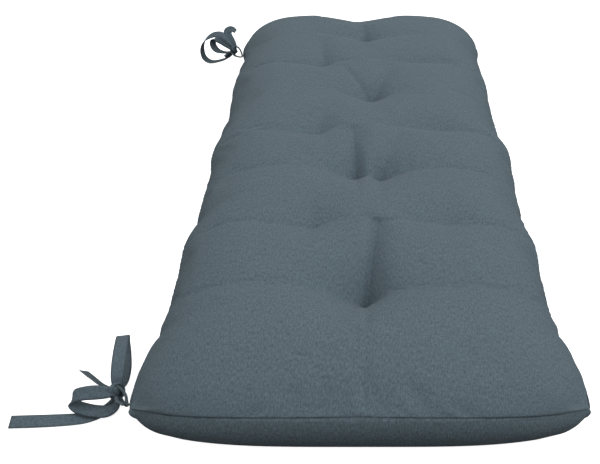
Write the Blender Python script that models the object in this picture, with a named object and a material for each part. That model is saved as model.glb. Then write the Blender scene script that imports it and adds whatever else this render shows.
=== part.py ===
"""Tufted bench cushion with two sewn-on fabric ties, modelled at its real size.

Metres, +Z up. X runs across the seat, Y along it, and the origin is the middle of the
underside, which lies flat on the surface. The cushion is one filled solid: an envelope of
two panels that meet in one seam, drawn down by seven rows of tufts: one in the middle and two
further out, in turn, where the third row's middle one is a close pair. Each tie is one strap
that is sewn into the seam at its middle and tied in a bow.
"""

import math
from typing import NamedTuple

import bmesh
import bpy
import numpy as np
from mathutils import Vector

# ---------------------------------------------------------------- driving dimensions
SEAM_LENGTH = 1.150  # corner to corner along the long seam
SEAM_WIDTH = 0.500  # nominal width of a panel


class End(NamedTuple):
    """A short end: how far it bows out, its seam's height, and its bay's crest and crown."""

    bow: float
    seam_height: float  # the end's seam rides up on the plump belly
    crest: float
    crown: float


NEAR_END = End(bow=0.035, seam_height=0.065, crest=0.0855, crown=0.015)
FAR_END = End(bow=0.021, seam_height=0.060, crest=0.0865, crown=0.014)
END_BOW_POWER = 3.7  # over 2, so that the bow is flatter in its middle
END_BOW_START = 3.2  # the bow starts this many rows from the middle
CORNER_TUCK = 0.003  # how far a corner's point is rounded off, each way
UNDER_CORNER_TUCK = 0.0012  # how much further the lower panel draws in under a corner
CORNER_TUCK_POWERS = (12, 40)  # how near the corner it starts, across and along
FAR_CORNER_TUCKS = (0.0105, 0.0488)  # the far corners are rounded further, across and along
FAR_CORNER_TUCK_POWERS = (5.7, 6.6)

CORNER_SEAM_HEIGHT = 0.038
SIDE_SEAM_HEIGHT = 0.036

ROW_PITCH = 0.1378  # from one row of tufts to the next
ROW_COUNT = 7
CREST_HEIGHT = 0.0955  # top of a bay between two rows
CROWN = 0.003  # extra height along the middle of the width

# The seam's distance from the middle line at every half row from the near corners to the far
# ones: the sides draw in at the single tufts and swell beside the pairs.
LEFT_WIDTHS = (
    0.2563, 0.2520, 0.2439, 0.2455, 0.2494, 0.2431, 0.2439, 0.2442, 0.2516,
    0.2471, 0.2424, 0.2468, 0.2517, 0.2503, 0.2474, 0.2584, 0.2558,
)
RIGHT_WIDTHS = (
    0.2552, 0.2496, 0.2405, 0.2426, 0.2478, 0.2431, 0.2430, 0.2484, 0.2535,
    0.2443, 0.2442, 0.2461, 0.2506, 0.2497, 0.2506, 0.2591, 0.2611,
)

SIDE_ROUNDING = 0.112  # width of the rounded shoulder, seam to flat top
END_ROUNDING = 0.088
EDGE_BLEND = 0.5  # how fast one edge's rounding dies out along the other edge
END_RISE_POWER = 10  # how near the end the side seam starts to rise
END_RISE_SHAPE = 3  # over 2, so that the end's seam is flatter in its middle
SIDE_SEAM_ANGLE = math.radians(12)  # the upper panel's slope at the seam
END_SEAM_ANGLE = math.radians(48)
UNDER_SIDE_ANGLE = math.radians(12)  # the lower panel's
UNDER_END_ANGLE = math.radians(31)
BELLY_RADIUS = 0.044  # of the lower panel, where it rolls under
ROUNDING_STEPS = 7

CREASE_DEPTH = 0.0065  # valley across the width at a row
CREASE_SHARPNESS = 2.2
CREASE_FADE = 0.35  # share of the crease's depth lost over the outer half of the width
UNDER_TUFT_DEPTH = 0.012
UNDER_TUFT_REACH = 0.024
UNDER_SLACK = 0.0015  # the underside's shallowest dimples press out flat
MM = 0.001


class Reach(NamedTuple):
    """How far a tuft's pull carries in one direction, and how suddenly it ends."""

    length: float
    power: float


class Tuft(NamedTuple):
    """One tuft: its row, its place across, its depth and its reach in each direction."""

    row: int
    x: float
    depth: float
    left: Reach
    right: Reach
    near: Reach
    far: Reach


class Fold(NamedTuple):
    """A fold that runs from a row of tufts towards the far end, steeper on one side.

    start and end are its places across, share is its length in rows, left and right are its
    widths and fade is how early it starts to grow shallow.
    """

    row: int
    start: float
    end: float
    share: float
    depth: float
    left: float
    right: float
    fade: float


class Notch(NamedTuple):
    """A pinch in the far end: its place, its depth, its reach and how sharp it is across."""

    x: float
    y: float
    depth: float
    across: float
    along: float
    power: float


TUFTS = (
    Tuft(1, 0.0075, 0.037, Reach(0.058, 1.9), Reach(0.030, 1.1), Reach(0.047, 1.7), Reach(0.048, 1.5)),
    Tuft(2, -0.066, 0.012, Reach(0.040, 1.3), Reach(0.024, 1.2), Reach(0.026, 1.4), Reach(0.032, 1.3)),
    Tuft(2, 0.124, 0.008, Reach(0.036, 1.2), Reach(0.044, 1.2), Reach(0.026, 1.4), Reach(0.026, 1.2)),
    Tuft(3, 0.030, 0.021, Reach(0.018, 1.4), Reach(0.040, 1.2), Reach(0.042, 1.7), Reach(0.036, 1.5)),
    Tuft(3, -0.006, 0.017, Reach(0.050, 2.2), Reach(0.014, 1.4), Reach(0.040, 1.7), Reach(0.036, 1.5)),
    Tuft(4, -0.066, 0.011, Reach(0.044, 1.4), Reach(0.018, 1.3), Reach(0.026, 1.4), Reach(0.038, 1.3)),
    Tuft(4, 0.132, 0.007, Reach(0.036, 1.2), Reach(0.044, 1.2), Reach(0.024, 1.4), Reach(0.024, 1.2)),
    Tuft(5, 0.023, 0.020, Reach(0.040, 1.6), Reach(0.030, 1.2), Reach(0.036, 1.7), Reach(0.034, 1.5)),
    Tuft(6, -0.072, 0.008, Reach(0.024, 1.2), Reach(0.022, 1.2), Reach(0.024, 1.4), Reach(0.026, 1.2)),
    Tuft(6, 0.160, 0.006, Reach(0.040, 1.2), Reach(0.036, 1.2), Reach(0.022, 1.4), Reach(0.022, 1.2)),
    Tuft(7, 0.011, 0.012, Reach(0.030, 1.4), Reach(0.030, 1.2), Reach(0.030, 1.6), Reach(0.026, 1.4)),
)

FOLDS = (
    Fold(1, 0.0085, 0.0225, 1.00, 0.016, 0.006, 0.014, 0.22),
    Fold(3, -0.006, -0.013, 0.95, 0.015, 0.009, 0.011, 0.45),
    Fold(3, 0.029, 0.066, 0.95, 0.009, 0.008, 0.026, 0.60),
    Fold(5, 0.024, 0.060, 0.88, 0.011, 0.007, 0.017, 0.50),
    Fold(5, 0.018, -0.038, 0.84, 0.006, 0.010, 0.009, 0.60),
    Fold(6, -0.070, -0.078, 0.85, 0.008, 0.011, 0.011, 0.50),
    Fold(7, 0.011, 0.007, 0.60, 0.011, 0.008, 0.013, 0.50),
    Fold(4, -0.074, -0.054, 0.60, 0.005, 0.022, 0.016, 0.80),
    Fold(2, -0.062, -0.070, 0.45, 0.003, 0.020, 0.020, 0.90),
)

# How strongly each row is creased from its left edge to its right one: 1 is CREASE_DEPTH.
CREASES = (
    (0.9, 0.7, 1.0, 1.0, 1.2),
    (0.6, 0.7, 0.0, 1.0, 1.2),
    (0.9, 0.3, 1.0, 0.8, 1.0),
    (0.5, 0.5, 0.0, 1.0, 1.0),
    (0.1, 0.0, 0.8, 0.1, 0.2),
    (0.2, 0.7, 0.0, 1.0, 0.4),
    (0.1, 0.0, 0.7, 0.3, 0.1),
)

# How far each crease strays from its row towards the near end, from left to right, in mm.
STRAYS = (
    (6, 7, 2, 10, 8),
    (8, 13, 7, 7, 6),
    (2, 2, 0, 0, 2),
    (18, 20, 6, 6, 9),
    (4, 6, 12, 6, 6),
    (14, 18, 9, 6, 2),
    (10, 12, 16, 12, 10),
)

TABLE_SPAN = 0.8  # the two tables reach over this share of the width
FOLD_POWER = 1.25  # how sharp a fold's bottom is
FOLD_STARTS_IN = 9.0  # a fold reaches its depth over one part in nine of its length

# The far end is pinched in its middle, past its last tuft.
NOTCH_ON_SEAM = 0.2  # share of the pinch's depth that the seam drops by
NOTCHES = (
    Notch(-0.003, 0.584, 0.045, 0.052, 0.070, 1.6),
    Notch(-0.0125, 0.590, 0.012, 0.013, 0.060, 1.5),
)

STRAP_WIDTH = 0.0165
STRAP_THICKNESS = 0.0018
KNOT_RADII = (0.0095, 0.0085, 0.0095)
SECTIONS_BETWEEN_POINTS = 3


class Point(NamedTuple):
    """One section of a strap, in millimetres and degrees from the point where it is sewn on.

    out is away from the cushion (-X), along is +Y, up is the height above the surface,
    facing is the compass direction of the strap's width from +X, rise is how far that
    width tips up, and width is the gathered width.
    """

    out: float
    along: float
    up: float
    facing: float
    rise: float
    width: float = STRAP_WIDTH / MM


# The near bow, sewn in near the corner. A loop lies beside the cushion, a second one points
# away from it, one short end lies behind that and one long end runs out along the surface.
NEAR_SEWN_AT = (-0.2582, -0.5640)
NEAR_KNOT = (23, 36, 20)
NEAR_RUNS = {
    "leads": (
        Point(22, 40, 24, 100, -50, 9),
        Point(12.5, 28, 27, 108, -48, 10),
        Point(6.2, 16.5, 32, 112, -46, 11),
        Point(1.6, 5.0, 37.0, 112, -46, 11),
        Point(0.6, 1.4, 37.2, 80, -50, 11),
        Point(1.6, 0.6, 35.4, 40, -44, 11),
        Point(7, 7.6, 30.0, 22, -34, 11),
        Point(13.5, 16, 23.5, 18, -32, 11),
        Point(20, 28, 19, 20, -30, 9),
    ),
    "side_loop": (
        Point(23, 40, 24, 8, 0, 12),
        Point(23.5, 48, 32, 8, 0, 15),
        Point(25.5, 66, 37, 10, 0),
        Point(28.8, 88, 37.5, 10, 0),
        Point(33, 111, 33, 10, 0),
        Point(37, 125, 24.5, 10, 0),
        Point(39, 127, 13, 10, 0),
        Point(34.5, 110, 6, 10, 0),
        Point(29.3, 87, 4, 10, 0),
        Point(25.3, 63, 7, 8, 0, 14),
        Point(23, 44, 15, 8, 0, 9),
    ),
    "outer_loop": (
        Point(23, 33, 23, 90, 30, 9),
        Point(31, 29, 25.5, 90, 32, 14),
        Point(43, 27, 27, 90, 33),
        Point(57, 26.5, 26, 90, 31),
        Point(69, 27, 21.5, 90, 26),
        Point(72.5, 26, 14.5, 90, 20),
        Point(67, 22.5, 8.8, 90, 12),
        Point(57, 19.5, 7.6, 92, 10),
        Point(46, 17, 7.4, 98, 10),
        Point(32, 16, 8.0, 116, 8),
        Point(23, 20, 11, 127, 4, 14),
        Point(20, 28, 16, 130, 0, 9),
    ),
    "short_end": (
        Point(25, 40, 17, 60, -22, 9),
        Point(38, 49, 12, 52, -36, 11),
        Point(50, 58, 9.4, 49, -44, 14),
        Point(64, 70, 8.4, 47, -46),
        Point(76, 80, 8.4, 42, -44),
    ),
    "long_end": (
        Point(24, 35, 13, 130, 0, 9),
        Point(32, 27, 5.6, 128, 0, 13),
        Point(41, 19.5, 2.2, 118, 0),
        Point(51, 13.5, 1.6, 104, 0),
        Point(66, 9.5, 2.2, 94, 5),
        Point(100, 6, 3.2, 96, 12),
        Point(139, 4, 3.6, 94, 13),
    ),
}

# The far bow, sewn into the long seam. Its big loop stands up from the surface like a hoop.
FAR_SEWN_AT = (-0.2543, 0.437)
FAR_KNOT = (22, 28, 39)
FAR_RUNS = {
    "leads": (
        Point(20, 28, 44, 84, -22, 9),
        Point(12, 22, 47, 88, -22, 10),
        Point(5, 10, 44.5, 94, -22, 11),
        Point(1.4, 1.8, 39.4, 97, -22, 12),
        Point(0.6, -0.8, 37.0, 98, -22, 12),
        Point(2.0, -1.2, 35.0, 98, -22, 12),
        Point(9, 5, 32.6, 96, -20, 11),
        Point(18, 15, 31, 90, -14, 10),
        Point(25, 24, 34, 80, -7, 9),
    ),
    "standing_loop": (
        Point(25, 28, 33, 80, 0, 9),
        Point(31, 30, 24.4, 76, 4, 12),
        Point(43, 34, 16, 72, 5),
        Point(63, 38, 8.6, 68, 5),
        Point(78, 40, 7.0, 66, 5),
        Point(89, 42, 13, 64, 3),
        Point(93.5, 43, 24.0, 64, 0),
        Point(93, 43.5, 39, 66, 6),
        Point(86.5, 44.5, 52.5, 68, 18),
        Point(74.5, 45, 62.5, 72, 28),
        Point(61.5, 44.5, 67.5, 76, 30),
        Point(47.5, 42, 67.5, 78, 24),
        Point(35, 36.5, 58, 80, 12, 13),
        Point(26, 30, 44, 80, 0, 9),
    ),
    "inner_loop": (
        Point(24, 25, 42, 40, 34, 9),
        Point(35, 21, 54, 32, 38, 14),
        Point(47, 19, 64.5, 28, 36),
        Point(57, 19, 68.5, 34, 22),
        Point(63.5, 19.5, 63, 44, 6),
        Point(63.5, 20, 51, 48, 0),
        Point(56, 21.5, 40.5, 54, 0, 15),
        Point(42, 24, 35, 72, 0, 12),
        Point(26, 26, 35, 90, 0, 9),
    ),
    "folded_end": (
        Point(20, 32, 42, 20, -4, 12),
        Point(25, 38.5, 52.0, 14, -4, 15),
        Point(32.5, 45.5, 62.5, 10, -4),
        Point(35.8, 50.5, 70.5, 6, -10),
        Point(31, 54.5, 74.4, -14, -26),
        Point(24, 56, 74, -36, -40, 14),
        Point(18.5, 55, 70, -50, -46, 10),
    ),
    "short_end": (
        Point(27, 27, 35, 50, -20, 9),
        Point(34, 24, 29.5, 44, -24, 11),
        Point(41, 21.5, 24.5, 40, -28, 12),
    ),
}


# ---------------------------------------------------------------- helpers
def clear_scene():
    for obj in list(bpy.data.objects):
        bpy.data.objects.remove(obj, do_unlink=True)


def make_cloth(name, colour, roughness):
    material = bpy.data.materials.new(name)
    material.use_nodes = True
    surface = material.node_tree.nodes["Principled BSDF"]
    surface.inputs["Base Color"].default_value = (*colour, 1.0)
    surface.inputs["Roughness"].default_value = roughness
    surface.inputs["Metallic"].default_value = 0.0
    return material


def add_object(name, mesh, material):
    obj = bpy.data.objects.new(name, mesh)
    bpy.context.scene.collection.objects.link(obj)
    if not mesh.materials:
        mesh.materials.append(material)
    mesh.shade_smooth()
    return obj


# ---------------------------------------------------------------- the cushion's form
def at_end(y, size):
    """One of the sizes of the end that is nearer to each place."""
    return np.where(y < 0, getattr(NEAR_END, size), getattr(FAR_END, size))


def row_positions():
    """Where each row of tufts lies along Y."""
    return (np.arange(ROW_COUNT) - (ROW_COUNT - 1) / 2) * ROW_PITCH


def half_width(x_sign, y):
    """The seam's distance from the middle line, which swings smoothly from knot to knot."""
    last = len(LEFT_WIDTHS) - 1
    place = np.clip(2 * y / ROW_PITCH + last / 2, 0, last)
    step = np.floor(place)
    eased = step + (1 - np.cos(math.pi * (place - step))) / 2
    left = np.interp(eased, np.arange(last + 1), LEFT_WIDTHS)
    right = np.interp(eased, np.arange(last + 1), RIGHT_WIDTHS)
    return left + (right - left) * (1 + x_sign) / 2


def bay_arch(y):
    """0 in a row's valley and 1 at the crest between two rows, and on past the last rows."""
    rows = row_positions()
    place = np.clip((y - rows[0]) / ROW_PITCH, 0, ROW_COUNT - 1)
    inner = 1 - np.abs(2 * (place % 1.0) - 1) ** CREASE_SHARPNESS
    past = np.maximum(np.abs(y) - rows[-1], 0) / (ROW_PITCH / 2)
    outer = 1 - (1 - np.clip(past, 0, 1)) ** CREASE_SHARPNESS
    return np.where(np.abs(y) > rows[-1], outer, inner)


def across_row(table, x):
    """Each row's value of a table at places across, eased between the table's columns."""
    last = len(table[0]) - 1
    place = np.clip((x / (SEAM_WIDTH / 2) / TABLE_SPAN + 1) / 2, 0, 1) * last
    step = np.clip(np.floor(place), 0, last - 1)
    part = place - step
    eased = step + part * part * (3 - 2 * part)
    return np.array([np.interp(eased, np.arange(last + 1), row) for row in table])


def row_place(y):
    """Places along in rows from the first one."""
    return np.clip(y / ROW_PITCH + (ROW_COUNT - 1) / 2, 0, ROW_COUNT - 1)


def strayed(x, y):
    """Places along as the creases see them, since a crease strays from its row."""
    strays = across_row(STRAYS, x)
    place = row_place(y)
    before = np.clip(np.floor(place), 0, ROW_COUNT - 2).astype(int)
    first = np.take_along_axis(strays, before[None], axis=0)[0]
    second = np.take_along_axis(strays, before[None] + 1, axis=0)[0]
    return y + (first + (second - first) * (place - before)) * MM


def creasing(x, y):
    """How strongly the nearest row is creased at (x, y)."""
    nearest = np.round(row_place(y)).astype(int)
    return np.take_along_axis(across_row(CREASES, x), nearest[None], axis=0)[0]


def fading(gap, reach):
    """A pull's share at a distance, from 1 down to 0."""
    return np.exp(-((np.abs(gap) / reach.length) ** reach.power))


def tuft_pull(x, y):
    """How far the tufts draw the upper panel down at (x, y)."""
    depth = np.zeros_like(x)
    for tuft in TUFTS:
        dx, dy = x - tuft.x, y - row_positions()[tuft.row - 1]
        across = np.where(dx < 0, fading(dx, tuft.left), fading(dx, tuft.right))
        along = np.where(dy < 0, fading(dy, tuft.near), fading(dy, tuft.far))
        depth += tuft.depth * across * along
    return depth


def fold_pull(x, y):
    """Depth of the lengthwise folds at (x, y)."""
    depth = np.zeros_like(x)
    for fold in FOLDS:
        share = (y - row_positions()[fold.row - 1]) / (fold.share * ROW_PITCH)
        dx = x - fold.start - (fold.end - fold.start) * np.clip(share, 0, 1)
        fade = np.clip(1 - share, 0, 1) ** fold.fade * np.clip(1 + share * FOLD_STARTS_IN, 0, 1)
        across = np.abs(dx) / np.where(dx < 0, fold.left, fold.right)
        depth += fold.depth * fade * np.exp(-(across**FOLD_POWER))
    return depth


def notch_pull(x, y):
    """Depth of the pinch in the far end at (x, y)."""
    depth = np.zeros_like(x)
    for notch in NOTCHES:
        across, along = np.abs(x - notch.x) / notch.across, (y - notch.y) / notch.along
        depth += notch.depth * np.exp(-(across**notch.power) - along**2)
    return depth


def top_height(x, y):
    """Height of the upper panel away from its rounded shoulders."""
    across = np.clip(np.abs(x) / (SEAM_WIDTH / 2), 0, 1)
    outer = np.clip(2 * across - 1, 0, 1)
    blend = np.clip((np.abs(y) - row_positions()[-1]) / (ROW_PITCH / 2), 0, 1)
    crest = CREST_HEIGHT + (at_end(y, "crest") - CREST_HEIGHT) * blend
    crown = CROWN + (at_end(y, "crown") - CROWN) * blend
    height = crest + crown * (1 - across**2) - notch_pull(x, y)
    y = strayed(x, y)
    crease = CREASE_DEPTH * (1 - CREASE_FADE * outer) * creasing(x, y)
    return height - crease * (1 - bay_arch(y)) - tuft_pull(x, y) - fold_pull(x, y)


def under_height(x, y):
    """Height of the lower panel away from its rolled edge: flat, with a dimple at each tuft."""
    lift = np.zeros_like(x)
    for tuft in TUFTS:
        far = np.hypot(x - tuft.x, y - row_positions()[tuft.row - 1]) / UNDER_TUFT_REACH
        lift = np.maximum(lift, UNDER_TUFT_DEPTH * np.exp(-far))
    return np.maximum(lift - UNDER_SLACK, 0.0)


def seam_height(x, y):
    """The seam sags a little along the sides and rides up on the ends."""
    across = np.clip(x / (SEAM_WIDTH / 2), -1, 1)
    along = np.clip(y / (SEAM_LENGTH / 2), -1, 1)
    side = SIDE_SEAM_HEIGHT + (CORNER_SEAM_HEIGHT - SIDE_SEAM_HEIGHT) * along**2
    end = 1 - np.abs(across) ** END_RISE_SHAPE
    rise = (at_end(y, "seam_height") - CORNER_SEAM_HEIGHT) * end
    return side + rise * np.abs(along) ** END_RISE_POWER - NOTCH_ON_SEAM * notch_pull(x, y)


class Edge(NamedTuple):
    """The grid lines of one edge, seam first: distance in from the seam and share of height."""

    inset: np.ndarray
    share: np.ndarray


def upper_edge(rounding, seam_angle):
    angle = np.linspace(seam_angle, math.pi / 2, ROUNDING_STEPS + 1)
    inset = rounding * (math.cos(seam_angle) - np.cos(angle)) / math.cos(seam_angle)
    share = (np.sin(angle) - math.sin(seam_angle)) / (1 - math.sin(seam_angle))
    return Edge(inset, share)


def lower_edge(seam_angle):
    angle = np.linspace(seam_angle, -math.pi / 2, ROUNDING_STEPS + 1)
    inset = BELLY_RADIUS * (math.cos(seam_angle) - np.cos(angle))
    share = (math.sin(seam_angle) - np.sin(angle)) / (1 + math.sin(seam_angle))
    return Edge(inset, share)


def inner_lines_across():
    """Grid lines between the two shoulders, as shares of the half width: close by a tuft."""
    half = (0.0, 0.045, 0.105, 0.20, 0.31, 0.40, 0.48)
    return np.array([-value for value in half[:0:-1]] + list(half))


def inner_lines_along():
    """Grid lines between the two end shoulders: at each row, close beside it and between."""
    rows = row_positions()
    steps = (0.0, 0.09, 0.24, 0.42, 0.62, 0.80, 0.92)
    lines = [row + step * ROW_PITCH for row in rows[:-1] for step in steps] + [rows[-1]]
    past = [0.10, 0.26]
    lines = [rows[0] - step * ROW_PITCH for step in past[::-1]] + lines
    return np.array(lines + [rows[-1] + step * ROW_PITCH for step in past])


def framed(edge, inner, between):
    """The edge's values on both sides of the inner lines' ones, as one grid axis."""
    return np.concatenate([edge, np.full(len(inner), between), edge[::-1]])


def panel_points(upper):
    """The panel's grid of points. The two panels share the points of the seam."""
    if upper:
        side = upper_edge(SIDE_ROUNDING, SIDE_SEAM_ANGLE)
        end = upper_edge(END_ROUNDING, END_SEAM_ANGLE)
    else:
        side, end = lower_edge(UNDER_SIDE_ANGLE), lower_edge(UNDER_END_ANGLE)
    inner_x, inner_y = inner_lines_across(), inner_lines_along()
    share_x, share_y = framed(side.share, inner_x, 1.0), framed(end.share, inner_y, 1.0)
    inset_x, inset_y = framed(side.inset, inner_x, 0.0), framed(end.inset, inner_y, 0.0)
    edge_x, edge_y = framed(side.share * 0, inner_x, 1.0) == 0, framed(end.share * 0, inner_y, 1.0) == 0
    sign_x = np.sign(np.arange(len(share_x)) - (len(share_x) - 1) / 2)
    sign_y = np.sign(np.arange(len(share_y)) - (len(share_y) - 1) / 2)

    # The inner lines spread out towards a seam, where the other edge's rounding has died out.
    blend_x, blend_y = share_x**EDGE_BLEND, share_y**EDGE_BLEND
    last_row = row_positions()[-1]
    past = np.maximum(np.abs(inner_y) - last_row, 0)
    room = SEAM_LENGTH / 2 - END_ROUNDING - last_row
    spread = 1 + (END_ROUNDING - end.inset[-1] * blend_x) / room
    y = np.zeros((len(share_x), len(share_y)))
    y[:, ~edge_y] = np.sign(inner_y) * (np.abs(inner_y) - past + np.outer(spread, past))
    drawn = np.outer(blend_x, inset_y[edge_y])
    y[:, edge_y] = sign_y[edge_y] * (SEAM_LENGTH / 2 - drawn)
    half = half_width(sign_x[:, None] * np.ones_like(y), y)
    x = np.zeros_like(y)
    spread = (half - side.inset[-1] * blend_y) / (half - SIDE_ROUNDING)
    x[~edge_x] = inner_x[:, None] * (half * spread)[~edge_x]
    drawn = np.outer(inset_x[edge_x], blend_y)
    x[edge_x] = sign_x[edge_x, None] * (half[edge_x] - drawn)
    x, y = drawn_in(x, bowed(x, y), upper, np.sqrt(np.outer(share_x, share_y)))

    seam = seam_height(x, y)
    far = top_height(x, y) if upper else under_height(x, y)
    return np.stack([x, y, seam + (far - seam) * np.outer(share_x, share_y)], axis=2)


def bowed(x, y):
    """Places along once the short ends bow out."""
    across = np.minimum(np.abs(x) / (SEAM_WIDTH / 2), 1)
    start = END_BOW_START * ROW_PITCH
    reach = np.clip((np.abs(y) - start) / (SEAM_LENGTH / 2 - start), 0, 1)
    return y + np.sign(y) * at_end(y, "bow") * (1 - across**END_BOW_POWER) * reach


def drawn_in(x, y, upper, from_seam):
    """Places in plan once the corners are rounded off. from_seam is 0 at the seam, and 1 away."""
    across = np.minimum(np.abs(x) / (SEAM_WIDTH / 2), 1)
    along = np.minimum(np.abs(y) / (SEAM_LENGTH / 2), 1)
    tuck = CORNER_TUCK + (0.0 if upper else UNDER_CORNER_TUCK) * from_seam
    tuck = tuck * across ** CORNER_TUCK_POWERS[0] * along ** CORNER_TUCK_POWERS[1]
    far = across ** FAR_CORNER_TUCK_POWERS[0] * along ** FAR_CORNER_TUCK_POWERS[1]
    far_x, far_y = (np.where(y > 0, size * far, 0.0) for size in FAR_CORNER_TUCKS)
    return x - np.sign(x) * (tuck + far_x), y - np.sign(y) * (tuck + far_y)


def build_cushion(material):
    upper = panel_points(True)
    lower = panel_points(False)
    rows, columns = upper.shape[:2]
    body = bmesh.new()
    top = [[body.verts.new(upper[i, j]) for j in range(columns)] for i in range(rows)]
    under = [
        [
            top[i][j]
            if i in (0, rows - 1) or j in (0, columns - 1)
            else body.verts.new(lower[i, j])
            for j in range(columns)
        ]
        for i in range(rows)
    ]
    for i in range(rows - 1):
        for j in range(columns - 1):
            add_cell(body, top, i, j)
            add_cell(body, under, i, j)
    bmesh.ops.recalc_face_normals(body, faces=body.faces)
    mesh = bpy.data.meshes.new("cushion")
    body.to_mesh(mesh)
    body.free()
    return add_object("cushion", mesh, material)


def add_cell(body, grid, i, j):
    """Two triangles, split along the shorter diagonal, or from the cushion's corner there."""
    corners = (grid[i][j], grid[i + 1][j], grid[i + 1][j + 1], grid[i][j + 1])
    first = (corners[0].co - corners[2].co).length
    second = (corners[1].co - corners[3].co).length
    at_end = [line in (0, len(row) - 2) for line, row in ((i, grid), (j, grid[0]))]
    if all(at_end):
        split_first = (i == 0) == (j == 0)
    else:
        split_first = first <= second
    order = ((0, 1, 2), (0, 2, 3)) if split_first else ((0, 1, 3), (1, 2, 3))
    for trio in order:
        body.faces.new([corners[index] for index in trio])


# ---------------------------------------------------------------- the ties
def width_direction(point):
    facing, rise = math.radians(point.facing), math.radians(point.rise)
    return Vector(
        (math.cos(facing) * math.cos(rise), math.sin(facing) * math.cos(rise), math.sin(rise))
    )


def smooth(values, steps):
    """Points on a smooth curve through the given ones (Catmull-Rom)."""
    values = np.array(values, float)
    padded = np.vstack([2 * values[0] - values[1], values, 2 * values[-1] - values[-2]])
    found = []
    for a, b, c, d in zip(padded, padded[1:], padded[2:], padded[3:]):
        for t in np.arange(steps) / steps:
            found.append(
                0.5 * (2 * b + (c - a) * t + (2 * a - 5 * b + 4 * c - d) * t**2
                       + (3 * b - a - 3 * c + d) * t**3)
            )
    found.append(values[-1])
    return np.array(found)


def strap_mesh(name, run, sewn_at, thickness=STRAP_THICKNESS):
    """A closed flat strap swept through the run's points."""
    rows = []
    for point in run:
        centre = (sewn_at[0] - point.out * MM, sewn_at[1] + point.along * MM, point.up * MM)
        rows.append((*centre, *width_direction(point), point.width * MM))
    rows = smooth(rows, SECTIONS_BETWEEN_POINTS)
    body = bmesh.new()
    sections = []
    for index, row in enumerate(rows):
        before, after = rows[max(index - 1, 0)], rows[min(index + 1, len(rows) - 1)]
        tangent = Vector(after[:3] - before[:3]).normalized()
        centre, wide = Vector(row[:3]), Vector(row[3:6])
        wide = (wide - wide.dot(tangent) * tangent).normalized()
        deep = tangent.cross(wide).normalized() * thickness / 2
        wide *= row[6] / 2
        corners = (centre - wide - deep, centre + wide - deep, centre + wide + deep, centre - wide + deep)
        sections.append([body.verts.new(corner) for corner in corners])
    for first, second in zip(sections, sections[1:]):
        for k in range(4):
            body.faces.new((first[k], first[(k + 1) % 4], second[(k + 1) % 4], second[k]))
    body.faces.new(sections[0][::-1])
    body.faces.new(sections[-1])
    bmesh.ops.triangulate(body, faces=body.faces)
    bmesh.ops.recalc_face_normals(body, faces=body.faces)
    mesh = bpy.data.meshes.new(name)
    body.to_mesh(mesh)
    body.free()
    return mesh


def ellipsoid_mesh(name, centre, radii, axes):
    body = bmesh.new()
    bmesh.ops.create_icosphere(body, subdivisions=2, radius=1.0)
    for vertex in body.verts:
        place = Vector(centre)
        for axis, radius, share in zip(axes, radii, vertex.co):
            place += axis * radius * share
        vertex.co = place
    bmesh.ops.recalc_face_normals(body, faces=body.faces)
    mesh = bpy.data.meshes.new(name)
    body.to_mesh(mesh)
    body.free()
    return mesh


def knot_mesh(name, place, sewn_at):
    centre = (sewn_at[0] - place[0] * MM, sewn_at[1] + place[1] * MM, place[2] * MM)
    axes = (Vector((1, 0, 0)), Vector((0, 1, 0)), Vector((0, 0, 1)))
    return ellipsoid_mesh(name, centre, KNOT_RADII, axes)


def build_tie(name, runs, knot, sewn_at, material):
    """One solid: the knot with every stretch of the strap joined to it."""
    tie = add_object(name, knot_mesh(name, knot, sewn_at), material)
    pieces = {key: strap_mesh(f"{name}_{key}", run, sewn_at) for key, run in runs.items()}
    for key, mesh in pieces.items():
        helper = add_object(f"{name}_{key}", mesh, material)
        helper.hide_render = True
        helper.display_type = "WIRE"
        join = tie.modifiers.new(f"join_{key}", "BOOLEAN")
        join.operation = "UNION"
        join.solver = "MANIFOLD"
        join.object = helper
    return tie


def main():
    clear_scene()
    cloth = make_cloth("slate_canvas", (0.107, 0.141, 0.162), 0.92)
    strap_cloth = make_cloth("slate_canvas_strap", (0.098, 0.130, 0.150), 0.90)
    build_cushion(cloth)
    build_tie("tie_near", NEAR_RUNS, NEAR_KNOT, NEAR_SEWN_AT, strap_cloth)
    build_tie("tie_far", FAR_RUNS, FAR_KNOT, FAR_SEWN_AT, strap_cloth)


main()
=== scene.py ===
"""Looks of a tufted bench cushion with two fabric ties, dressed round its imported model.

Metres, +Z up, in the model's own frame: X runs across the seat, Y along it, and the
underside lies on the surface at Z = 0. The cushion is an envelope of two panels of melange
canvas, stuffed and sewn down by seven rows of tufts. Each tie is one folded strap of the same
canvas, sewn into the seam at its middle and tied in a bow.
"""

import logging
import math
from dataclasses import dataclass, field
from enum import Enum
from typing import NamedTuple, Sequence

import bmesh
import bpy
import numpy as np
from bpy.types import Material, Node, NodeSocket, NodeTree, Object
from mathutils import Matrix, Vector
from numpy import ndarray as Array


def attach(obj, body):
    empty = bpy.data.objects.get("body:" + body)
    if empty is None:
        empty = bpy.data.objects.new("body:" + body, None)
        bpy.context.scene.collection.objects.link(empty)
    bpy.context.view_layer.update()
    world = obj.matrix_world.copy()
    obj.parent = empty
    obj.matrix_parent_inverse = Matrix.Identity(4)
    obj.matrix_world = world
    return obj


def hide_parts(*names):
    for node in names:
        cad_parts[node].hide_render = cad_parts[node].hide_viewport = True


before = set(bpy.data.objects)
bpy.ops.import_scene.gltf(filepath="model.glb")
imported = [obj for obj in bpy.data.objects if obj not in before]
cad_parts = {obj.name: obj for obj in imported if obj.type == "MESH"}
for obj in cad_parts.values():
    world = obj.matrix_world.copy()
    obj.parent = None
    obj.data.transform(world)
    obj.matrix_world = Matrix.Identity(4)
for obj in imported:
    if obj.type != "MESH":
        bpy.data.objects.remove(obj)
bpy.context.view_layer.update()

MM = 0.001
BODY = "root"
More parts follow.
